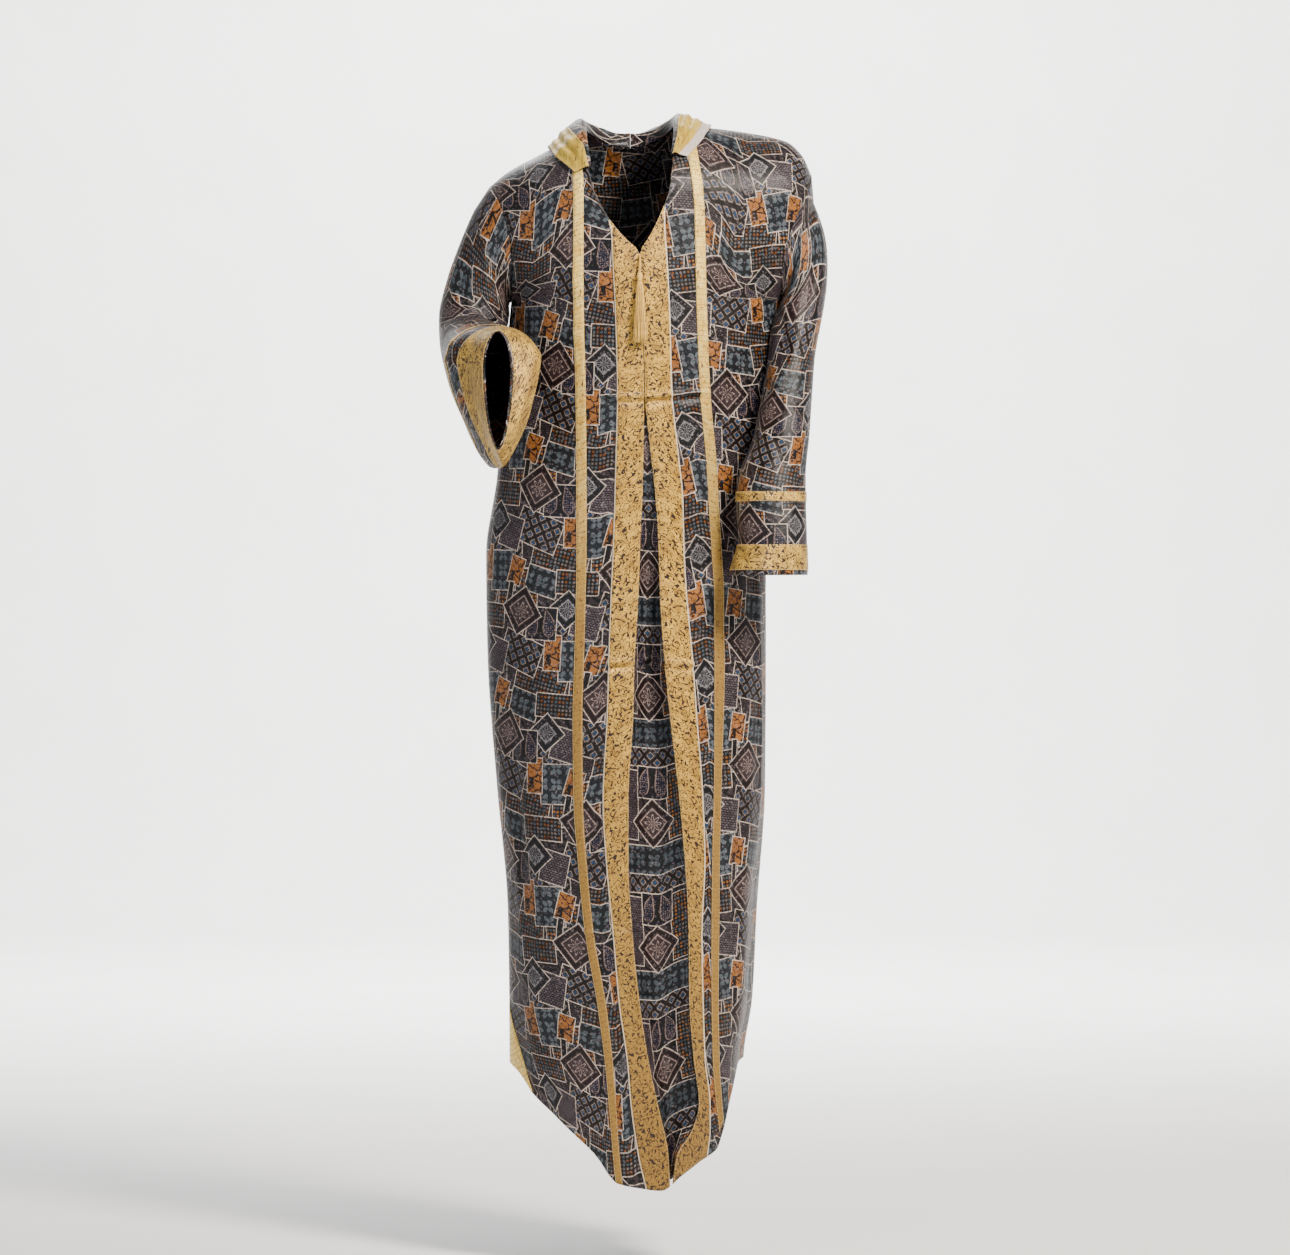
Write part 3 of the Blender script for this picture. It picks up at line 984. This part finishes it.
# Sleeve folds: from and to as (station, turn in radians), stand-out and half width.
RIGHT_SLEEVE_FOLDS = [
    (1.0, 1.2, 3.6, 2.3, 3.0, 9), (1.4, 0.6, 4.4, 1.3, -3.2, 10), (2.2, 2.4, 4.8, 2.0, -3.2, 9),
    (3.4, 0.9, 5.6, 1.9, 3.4, 9), (3.8, 3.2, 5.2, 2.3, 3.0, 9), (4.6, 4.2, 6.8, 4.9, 3.4, 12),
    (5.2, 0.5, 8.6, 0.4, 2.6, 9), (6.0, 5.5, 9.0, 5.2, -3.0, 11), (5.8, 3.6, 9.2, 3.9, 2.8, 11),
    (7.4, 2.6, 9.4, 3.0, 2.2, 8), (2.6, 4.6, 4.4, 5.6, 3.2, 11), (6.6, 6.0, 8.4, 6.3, 2.2, 8)]
LEFT_SLEEVE_FOLDS = [
    (0.9, 1.4, 4.2, 2.4, 3.0, 10), (1.2, 0.7, 4.8, 1.2, -3.0, 11), (2.6, 2.4, 5.4, 1.6, -3.2, 9),
    (4.0, 1.0, 6.2, 2.3, 3.0, 9), (5.0, 2.6, 6.6, 0.9, 2.6, 8), (6.4, 2.2, 8.0, 1.0, -2.6, 8),
    (7.2, 1.2, 8.8, 2.4, 2.2, 8), (4.4, 4.2, 7.2, 5.2, 3.2, 11), (2.4, 4.8, 4.6, 3.9, -3.0, 11),
    (8.9, 0.8, 10.6, 1.1, 1.4, 8), (6.0, 3.6, 9.0, 3.9, 2.6, 10), (1.6, 5.4, 4.6, 5.9, 2.8, 10)]


def body_normal(u, z):
    """The way out from the body; near the shoulder line it is taken along the arc."""
    x = body_point(u, z)[..., 0]
    down = shoulder(x, "z") - z
    arc = arc_of(down)
    near = shoulder_normal(x, np.where(np.cos(u) > 0, -arc, arc))
    around = body_point(u + 0.01, z) - body_point(u - 0.01, z)
    up = body_point(u, z + 1) - body_point(u, z - 1)
    return np.where((down < 25)[..., None], near, unit(np.cross(around, up)))


def armhole_point(way, turn):
    """The armhole's edge at a turn round it, nought at the shoulder."""
    tip = np.float64(-60)
    for _ in range(30):
        tip = mix(tip, shoulder(body(tip, "left" if way < 0 else "right"), "z"), 0.4)
    z = mix(ARMPIT, tip, (1 + np.cos(turn)) / 2)
    x = body(z, "left" if way < 0 else "right")
    reach = body(z, "depth") * armhole_share(z) * rounding(x, z)
    return np.stack([x + way * (SEAM + 0.6), -np.sign(np.sin(turn)) * reach, z], -1)


def ring_point(rows, way, at, turn):
    """A place on the sleeve's ring at a station, which leans and bends with the arm."""
    lean, bend = np.radians(rows(at, "lean")), np.radians(rows(at, "bend"))
    under = np.sin(turn) < 0
    power = np.where(under, rows(at, "pinch"), 1)
    wide = rows(at, "wide") * np.sign(np.cos(turn)) * np.abs(np.cos(turn)) ** power
    deep = np.where(under, -rows(at, "back"), rows(at, "front")) * np.abs(np.sin(turn)) ** power
    return np.stack([
        rows(at, "x") + way * wide * np.sin(lean),
        rows(at, "y") - deep * np.cos(bend),
        rows(at, "z") + wide * np.cos(lean) + deep * np.sin(bend)], -1)


def clear_of_body(points, gap):
    """Cloth that would lie inside the body is laid on it, a little clear of it."""
    middle, half, depth = section(points[..., 2])
    u = np.arctan2((points[..., 0] - middle) / half, -points[..., 1] / depth)
    skin = body_point(u, points[..., 2]) + body_normal(u, points[..., 2]) * gap[..., None]
    reach = np.hypot(points[..., 0] - middle, points[..., 1])
    least = np.hypot(skin[..., 0] - middle, skin[..., 1])
    inside = (points[..., 2] < ARMPIT + 30) & (reach < least)
    return np.where(inside[..., None], skin, points)


def sleeve_grid(rows, way, stations, folds):
    at = stations[:, None] + np.zeros((1, SLEEVE_COLUMNS + 1))
    turn = np.linspace(0, 2 * math.pi, SLEEVE_COLUMNS + 1)[None, :] + np.zeros((len(stations), 1))
    free = ring_point(rows, way, np.maximum(at, 1), turn)
    seam = armhole_point(way, turn)
    points = mix(seam, free, smooth(at)[..., None])
    high = np.zeros_like(at)
    for a0, t0, a1, t1, height, wide in folds:
        along, across = (a1 - a0) * 45, (t1 - t0) * 55
        pa, pt = (at - a0) * 45, apart(turn, t0) * 55
        t = np.clip((pa * along + pt * across) / (along**2 + across**2), 0, 1)
        far = np.hypot(pa - t * along, pt - t * across - 5 * np.sin(math.pi * t))
        high += height * np.exp(-((far / wide) ** 2)) * np.sin(math.pi * mix(0.1, 0.92, t))
    high *= smooth(at / 1.2) * smooth((stations[-1] - at + 0.25) / 0.8)
    points = points + normals(points, True, way < 0) * high[..., None]
    gap = mix(1, 3.4, np.clip(2 * at, 0, 1))
    points = np.where((at > 0)[..., None], clear_of_body(points, gap), points)
    points[:, -1] = points[:, 0]
    normal = normals(points, True, way < 0)
    normal[0, :, 0] = 0
    normal[0] = unit(normal[0])
    return points, normal


def sleeve(name, rows, way, last, trim, band, folds, material, cuts):
    """A sleeve with its narrow trim and its cuff band, which lie between given stations."""
    base = np.concatenate([np.linspace(0, 1, 14)[:-1], np.linspace(1, last, int(last * 11))])
    marks = np.array([*trim, *band])
    keep = np.all(np.abs(base[:, None] - marks[None, :]) > 0.03, axis=1)
    stations = np.unique(np.round(np.concatenate([base[keep], marks]), 5))
    points, normal = sleeve_grid(rows, way, stations, folds)
    row = {mark: int(np.argmin(np.abs(stations - mark))) for mark in marks}
    middle_line = points[:, :-1].mean(1)
    step = np.linalg.norm(np.diff(middle_line, axis=0), axis=-1)
    along = np.concatenate([[0], np.cumsum(step)])[:, None] + np.zeros(points.shape[:2])
    girth = lengths(points, 1)
    uv = np.stack([-way * girth, -along], -1)
    # The seam allowance turns in under the panels, so that no light comes through the seam.
    turned_in = points[:1] - normal[:1] * 1.5 - np.array([way * 5.0, 0, 0])
    tube = cloth(f"satin_sleeve_{name}", np.concatenate([turned_in, points]),
                 np.concatenate([normal[:1], normal]), np.concatenate([uv[:1] + (0, 5), uv]),
                 material, closed=True)
    show(tube, f"sleeve_{name}", "print", *cuts["sleeve"])
    columns = (0, SLEEVE_COLUMNS)
    laid(f"brocade_cuff_trim_{name}", points, normal, (row[trim[0]], row[trim[1]]), columns,
         CUFF_GOLD, f"cuff_trim_{name}", *cuts["trim"], tube.name, closed=True)
    laid(f"brocade_cuff_{name}", points, normal, (row[band[0]], row[band[1]]), columns,
         CUFF_GOLD, f"cuff_band_{name}", *cuts["band"], tube.name, closed=True)
    for mark, toward in [(trim[0], 1), (trim[1], -1), (band[0], 1), (band[1], -1)]:
        r = row[mark]
        remember(mix(points[r], points[r + toward], 0.3), normal[r], STITCH_LIFT)


sleeve("right", right_sleeve, -1, 10, (7.4, 7.8), (8.5, 9.9), RIGHT_SLEEVE_FOLDS, SATIN_SLEEVE_RIGHT,
       {"sleeve": ((0.48, 0.52), 0.15), "trim": ((0.48, 0.0142), None),
        "band": ((0.46, 0.06), 0.022)})
sleeve("left", left_sleeve, 1, 11, (8.6, 8.95), (10.2, 10.88), LEFT_SLEEVE_FOLDS, SATIN_SLEEVE_LEFT,
       {"sleeve": ((0.51, 0.57), 0.14), "trim": ((0.29, 0.0138), None),
        "band": ((0.315, 0.035), None)})

# Hood -------------------------------------------------------------------------------------
hood_rows = Chart("heading rise reach drop pocket", [
    [0, 0, 26, 40, 262, 1], [0.2, 6, 25, 40, 225, 0.95], [0.42, 38, 22, 44, 120, 0.45],
    [0.62, 88, 15, 48, 60, 0], [0.8, 94, 9, 40, 60, 0], [1, 96, 4, 15, 60, 0]])
HOOD_BAND = 32
HOOD_SHOULDER = 0.62  # the place round the neck where the shoulder line is met
HOOD_OUT = 0.5  # how far the hood's face stands off its grid
HOOD_LAID = 0.75  # how far the band's face stands off the hood's
HOOD_BAND_THICK = 0.6
CLOTH_ROWS, BAND_ROWS = 64, 20
# Way, front it is sewn to, lowest point of its seam, width of the facing strip and its cloth.
HOOD_SIDES = {"right": (-1, right_front, -67, 1, SATIN_HOOD), "left": (1, left_front, -48, 12, RIBBON)}
HOOD_CUTS = {"right": ((0.39, 0.56), 0.069, 0.0132), "left": ((0.39, 0.54), 0.0637, 0.0109)}
# Gathers that run across the hood's band: place round the neck, height and half width.
GATHERS = [(0.12, 1.4, 0.03), (0.3, -1.5, 0.035), (0.46, 1.8, 0.03), (0.55, -1.8, 0.025),
           (0.66, 2.0, 0.025), (0.74, -1.7, 0.022), (0.81, 1.7, 0.022), (0.89, -1.2, 0.02)]


def neck_seam(way, side, end, place):
    """Where the hood is sewn on at a place round the neck, as x and arc."""
    if place <= HOOD_SHOULDER:
        x = way * NECK_HALF * math.sin(place / HOOD_SHOULDER * math.pi / 2)
        return x, float(arc_of(shoulder(x, "z") - neckline(x)))
    share = ((place - HOOD_SHOULDER) / (1 - HOOD_SHOULDER)) ** 1.7
    z = mix(shoulder(way * NECK_HALF, "z"), end, share)
    x = float(side(z, "edge"))
    return x, -float(arc_of(shoulder(x, "z") - z))


def hood_profile(place):
    """The hood's section at a place round the neck, as how far out and how far off the body."""
    rise, reach, drop, pocket = (float(hood_rows(place, n)) for n in "rise reach drop pocket".split())
    collar = [(-2.8, 0), (-2.8, rise * 0.7), (2, rise + 2), (reach * 0.3, rise * 0.8 + 2),
              (reach * 0.5, rise * 0.5 + 2.4), (reach * 0.7, rise * 0.25 + 2.6),
              (reach * 0.86, 3.4), (reach, 3.2)]
    hanging = [(-1.9, 0), (-3, rise), (14, rise * 0.8), (drop * 0.5, 5),
               (drop * 0.93, 6), (drop * 0.98, 24), (drop * 0.5, 38), (36, 50)]
    turned = float(smooth(pocket))
    keys = mix(np.array(collar, float), np.array(hanging, float), turned)
    keys[:, 1] += 14 * math.sin(math.pi * turned) * smooth((np.arange(8) - 3) / 4)
    share = np.linspace(0, 7, 201)
    i = np.minimum(share.astype(int), 6)
    w = (share - i)[:, None]
    p0, p1 = keys[np.maximum(i - 1, 0)], keys[i]
    p2, p3 = keys[np.minimum(i + 1, 7)], keys[np.minimum(i + 2, 7)]
    a, b = (p2 - p0) / 2, (p3 - p1) / 2
    return ((2 * p1 - 2 * p2 + a + b) * w**3 + (-3 * p1 + 3 * p2 - 2 * a - b) * w**2 + a * w + p1)


def hood_half(name):
    """Half of the lowered hood, from its seam at the middle of the back to the front edge."""
    way, side, end, margin, edge_material = HOOD_SIDES[name]
    places = np.linspace(0, 0.97, 96)
    columns = []
    for place in places:
        curve = hood_profile(place)
        walked = np.concatenate([[0], np.cumsum(np.linalg.norm(np.diff(curve, axis=0), axis=1))])
        whole = walked[-1]
        start, stop = max(1 - (HOOD_BAND + margin) / whole, 0.25), 1 - margin / whole
        shares = np.concatenate([
            np.linspace(0, start, CLOTH_ROWS + 1)[:-1],
            np.linspace(start, stop, BAND_ROWS + 1), np.linspace(stop, 1, 5)[1:]])
        out = np.interp(shares * whole, walked, curve[:, 0])
        off = np.interp(shares * whole, walked, curve[:, 1])
        gather = sum(h * math.exp(-(((place - p) / w) ** 2)) for p, h, w in GATHERS)
        off = off + gather * smooth((shares - start * 0.8) / 0.2) * smooth((0.93 - place) / 0.1)
        on_band = np.clip((shares - start) / (stop - start), 0, 1)
        pleats = np.sin(2 * math.pi * (2.4 * on_band + 0.7 * place)) * np.sin(math.pi * on_band)
        off = off + 1.7 * pleats * smooth((place - 0.3) / 0.3) * smooth((0.97 - place) / 0.12)
        heading = math.radians(float(hood_rows(place, "heading")))
        seam_x, seam_arc = neck_seam(way, side, end, place)
        x = seam_x + way * out * math.sin(heading)
        arc = seam_arc + out * math.cos(heading)
        columns.append(shoulder_point(x, arc) + shoulder_normal(x, arc) * off[:, None])
    points = np.stack(columns, 1)
    points[:, 0, 0] = way * SEAM / 2
    normal = normals(points, flip=way < 0)
    normal[:, 0, 0] = 0
    normal[:, 0] = unit(normal[:, 0])
    edge_row = CLOTH_ROWS + BAND_ROWS
    # The print runs across the hood as on the flat cloth; on the facing strip it runs along it.
    x, y, z = points[..., 0], points[..., 1], points[..., 2]
    uv = np.stack([x + way * 0.55 * y, z + 0.5 * y], -1)
    along_edge = np.stack([-way * lengths(points, 1), lengths(points, 0)], -1)
    uv[edge_row:] = along_edge[edge_row:]
    half = cloth(f"satin_hood_{name}", points, normal, uv, SATIN_HOOD, out=HOOD_OUT,
                 edge_from=edge_row, edge=edge_material)
    flat, area, band_area = HOOD_CUTS[name]
    show(half, f"hood_{name}", "print", flat, area)
    rows = np.s_[CLOTH_ROWS:edge_row + 1]
    band = points[rows]
    band_uv = np.stack([lengths(band, 0), lengths(band, 1)], -1)
    laid_band = cloth(f"brocade_hood_{name}", band, normal[rows], band_uv, HOOD_GOLD,
                      out=HOOD_OUT + HOOD_LAID, thick=HOOD_BAND_THICK)
    show(laid_band, f"hood_band_{name}", "brocade", (0.39, 0.045), band_area, held="laid",
         rests_on=[half.name])
    for row, inner in [(CLOTH_ROWS, CLOTH_ROWS + 1), (edge_row, edge_row - 1)]:
        remember(mix(points[row], points[inner], 0.5), normal[row], HOOD_OUT + HOOD_LAID + 0.05)


hood_half("right")
hood_half("left")


# Tassel -----------------------------------------------------------------------------------
GOLDEN_ANGLE = 2.399963
TASSEL_X = 13.4
HEAD_AROUND, WRAP_AROUND = 20, 6


def tassel():
    """A twisted cord, a wound head and a skirt of threads that hang from it."""
    def front_at(z, off):
        point = body_point(front_angle(TASSEL_X, np.float64(z)), np.float64(z))
        return np.array([TASSEL_X, point[1] - off, z])

    verts, faces = [], []

    def strand(path, radii, around=5):
        base = len(verts)
        for point, radius in zip(path, radii):
            for k in range(around):
                angle = 2 * math.pi * k / around
                verts.append(point + radius * np.array([math.cos(angle), math.sin(angle), 0]))
        for r in range(len(path) - 1):
            for k in range(around):
                a, b = base + r * around + k, base + r * around + (k + 1) % around
                faces.append([a, a + around, b + around, b])
        faces.append([base + k for k in range(around)])
        faces.append([base + (len(path) - 1) * around + k for k in reversed(range(around))])

    top, head = front_at(-176, 2.8), front_at(-200, 8)
    for ply in range(3):
        path = []
        for s in np.linspace(0, 1, 40):
            middle = mix(top, head, s)
            turn = 2 * math.pi * (4 * s + ply / 3)
            path.append(middle + 0.75 * np.array([math.cos(turn), math.sin(turn), 0]))
        strand(path, [0.75] * 40, 6)
    bowl = [(0.0, 0.8), (-1.0, 2.4), (-2.6, 3.6), (-5.0, 4.2), (-7.5, 3.9), (-9.3, 3.3), (-10.6, 3.1),
            (-11.4, 3.4), (-12.2, 3.5)]
    strand([head + np.array([0, 0, z + 1]) for z, _ in bowl], [r for _, r in bowl], HEAD_AROUND)
    for wrap in range(4):
        base = len(verts)
        for k in range(HEAD_AROUND):
            angle = 2 * math.pi * k / HEAD_AROUND
            for j in range(WRAP_AROUND):
                lift = 2 * math.pi * j / WRAP_AROUND
                reach = 3.3 + 0.5 * math.cos(lift)
                verts.append(head + np.array([reach * math.cos(angle), reach * math.sin(angle),
                                              -7.7 - 0.85 * wrap + 0.5 * math.sin(lift)]))
        for k in range(HEAD_AROUND):
            here = base + k * WRAP_AROUND
            there = base + (k + 1) % HEAD_AROUND * WRAP_AROUND
            for j in range(WRAP_AROUND):
                on = (j + 1) % WRAP_AROUND
                faces.append([here + j, there + j, there + on, here + on])
    spread = np.random.default_rng(7)
    for k in range(150):
        ring = math.sqrt((k + 0.5) / 150)
        angle = GOLDEN_ANGLE * k
        root = head + np.array([2.6 * ring * math.cos(angle), 2.6 * ring * math.sin(angle), -10.5])
        wave, drift = spread.uniform(-0.7, 0.7, 2), spread.uniform(-1.2, 1.2, 2)
        end = head + np.array([9.3 * ring * math.cos(angle) + drift[0],
                               5.0 * ring * math.sin(angle) + 0.5 * drift[1] - 0.4,
                               -90.6 + spread.uniform(-3.0, 1.5)])
        path = []
        for s in np.linspace(0, 1, 9):
            bell = s**0.55
            point = mix(root, end, np.array([bell, bell, s]))
            point[0] += wave[0] * math.sin(math.pi * s * 1.7)
            point[1] += wave[1] * math.sin(math.pi * s * 1.4)
            path.append(point)
        strand(path, [0.34] * 9, 5)
    return outward(mesh_object("tassel_threads", verts, faces, materials=[TASSEL_THREAD]), 1e-7)


show(tassel(), "tassel", "thread")


# Stitches ---------------------------------------------------------------------------------
def stitch_tree():
    """Short stitches set end to end along edges, each turned to lie along its line."""
    takes = [("Geometry", "NodeSocketGeometry"), ("Pitch", FLOAT), ("Length", FLOAT),
             ("Thickness", FLOAT), ("Thread", "NodeSocketMaterial")]
    t, (geometry, pitch, length, thickness, thread) = new_group(
        "stitches", takes, [("Geometry", "NodeSocketGeometry")], "GeometryNodeTree")
    lines = add(t, "GeometryNodeMeshToCurve", [geometry])
    spots = add(t, "GeometryNodeResampleCurve", {"Curve": lines, "Length": pitch}, mode="LENGTH")
    tangent = add(t, "GeometryNodeInputTangent")
    turn = add(t, "FunctionNodeAlignRotationToVector", {"Vector": tangent}, axis="Z")
    one = add(t, "GeometryNodeMeshCylinder", {"Vertices": 6, "Radius": thickness, "Depth": length})
    laid_down = add(t, "GeometryNodeInstanceOnPoints", {"Points": spots, "Instance": one, "Rotation": turn})
    real = add(t, "GeometryNodeRealizeInstances", [laid_down])
    done = add(t, "GeometryNodeSetMaterial", {"Geometry": real, "Material": thread})
    add(t, "NodeGroupOutput", [done])
    return t


def stitches():
    """The lines that were kept, made into stitches and then into a plain mesh."""
    verts, edges = [], []
    for points in seam_lines:
        base = len(verts)
        verts.extend(points)
        edges.extend((base + k, base + k + 1) for k in range(len(points) - 1))
    mesh = bpy.data.meshes.new("stitch_lines")
    mesh.from_pydata((np.array(verts) / 1000).tolist(), edges, [])
    path = bpy.data.objects.new("stitch_lines", mesh)
    bpy.context.scene.collection.objects.link(path)
    tree = stitch_tree()
    modifier = path.modifiers.new("stitches", "NODES")
    modifier.node_group = tree
    # Stitches are 2.5 mm long and are drawn 3.4 mm long, so that they show.
    values = {"Pitch": 0.0046, "Length": 0.0034, "Thickness": 0.00022, "Thread": SEWING_THREAD}
    for item in tree.interface.items_tree:
        if item.in_out == "INPUT" and item.name in values:
            modifier[item.identifier] = values[item.name]
    made = path.evaluated_get(bpy.context.evaluated_depsgraph_get())
    mesh = bpy.data.meshes.new_from_object(made)
    bpy.data.objects.remove(path)
    obj = bpy.data.objects.new("stitches", mesh)
    mesh.name = "stitches"
    bpy.context.scene.collection.objects.link(obj)
    return show(obj, None, "thread")


stitches()


# Stage, light and camera ------------------------------------------------------------------
FLOOR, SWEEP_START, SWEEP = -1.53, 7.6, 1.6  # in metres, like all that follows


def stage():
    """A pale floor that sweeps up into a backdrop far behind, so that the back can be seen too."""
    rows = []
    for angle in np.linspace(0, math.pi / 2, 14):
        rows.append((SWEEP_START + SWEEP * math.sin(angle), FLOOR + SWEEP * (1 - math.cos(angle))))
    profile = [(-9.0, FLOOR)] + rows + [(9.2, 6.0)]
    verts = [(x * 1000, y * 1000, z * 1000) for y, z in profile for x in (-8.0, 8.0)]
    faces = [[2 * k, 2 * k + 1, 2 * k + 3, 2 * k + 2] for k in range(len(profile) - 1)]
    # Matt studio paper: an even, soft white with no shine.
    material, t = new_material("studio_paper")
    place = add(t, "ShaderNodeTexCoord", out="Object")
    grain = add(t, "ShaderNodeTexNoise", {"Vector": place, "Scale": 3.0, "Detail": 2.0})
    share = add(t, "ShaderNodeMapRange", {0: grain, 1: 0.3, 2: 0.7})
    colour = add(t, "ShaderNodeMix", {
        0: share, 6: tint("#f4f3f1"), 7: tint("#f8f7f5")}, out=2, data_type="RGBA")
    skin = add(t, "ShaderNodeBsdfPrincipled", {
        "Base Color": colour, "Roughness": 0.9, "Specular IOR Level": 0.1})
    add(t, "ShaderNodeOutputMaterial", [skin])
    mesh_object("studio_floor", verts, faces, materials=[material])


def lamp(name, place, aim, size, power, colour):
    data = bpy.data.lights.new(name, "AREA")
    data.shape, data.size, data.energy = "DISK", size, power
    data.color = tint(colour)[:3]
    obj = bpy.data.objects.new(name, data)
    obj.location = place
    obj.rotation_euler = (Vector(aim) - Vector(place)).to_track_quat("-Z", "Y").to_euler()
    bpy.context.scene.collection.objects.link(obj)


stage()
lamp("key_light", (1.6, -2.2, 1.5), (0.08, 0, -0.3), 0.9, 270, "#fff4e6")
lamp("fill_light", (-2.6, -3.6, 0.2), (0, 0, -0.8), 2.2, 38, "#f3f6ff")
lamp("back_light", (-0.6, 2.6, 1.8), (0, 0, -0.3), 1.6, 60, "#ffffff")
lamp("paper_light", (0, 4.6, 3.0), (0, 8.6, -1.2), 3.0, 1100, "#ffffff")
world = bpy.data.worlds.new("studio")
bpy.context.scene.world = world
world.use_nodes = True
world.node_tree.nodes["Background"].inputs["Color"].default_value = tint("#f6f6f8")
world.node_tree.nodes["Background"].inputs["Strength"].default_value = 0.5

# Long lens, level with the middle of the garment; the frame is 1.742 m wide at its depth.
DISTANCE, FRAME_WIDE = 7.26, 1.7415
eye = bpy.data.cameras.new("camera")
eye.sensor_width = 36
eye.lens = 36 * DISTANCE / FRAME_WIDE
eye.clip_end = 60
camera = bpy.data.objects.new("camera", eye)
camera.location = (0.0203, -0.06 - DISTANCE, -0.6743)
camera.rotation_euler = (math.radians(90), 0, 0)
bpy.context.scene.collection.objects.link(camera)
bpy.context.scene.camera = camera
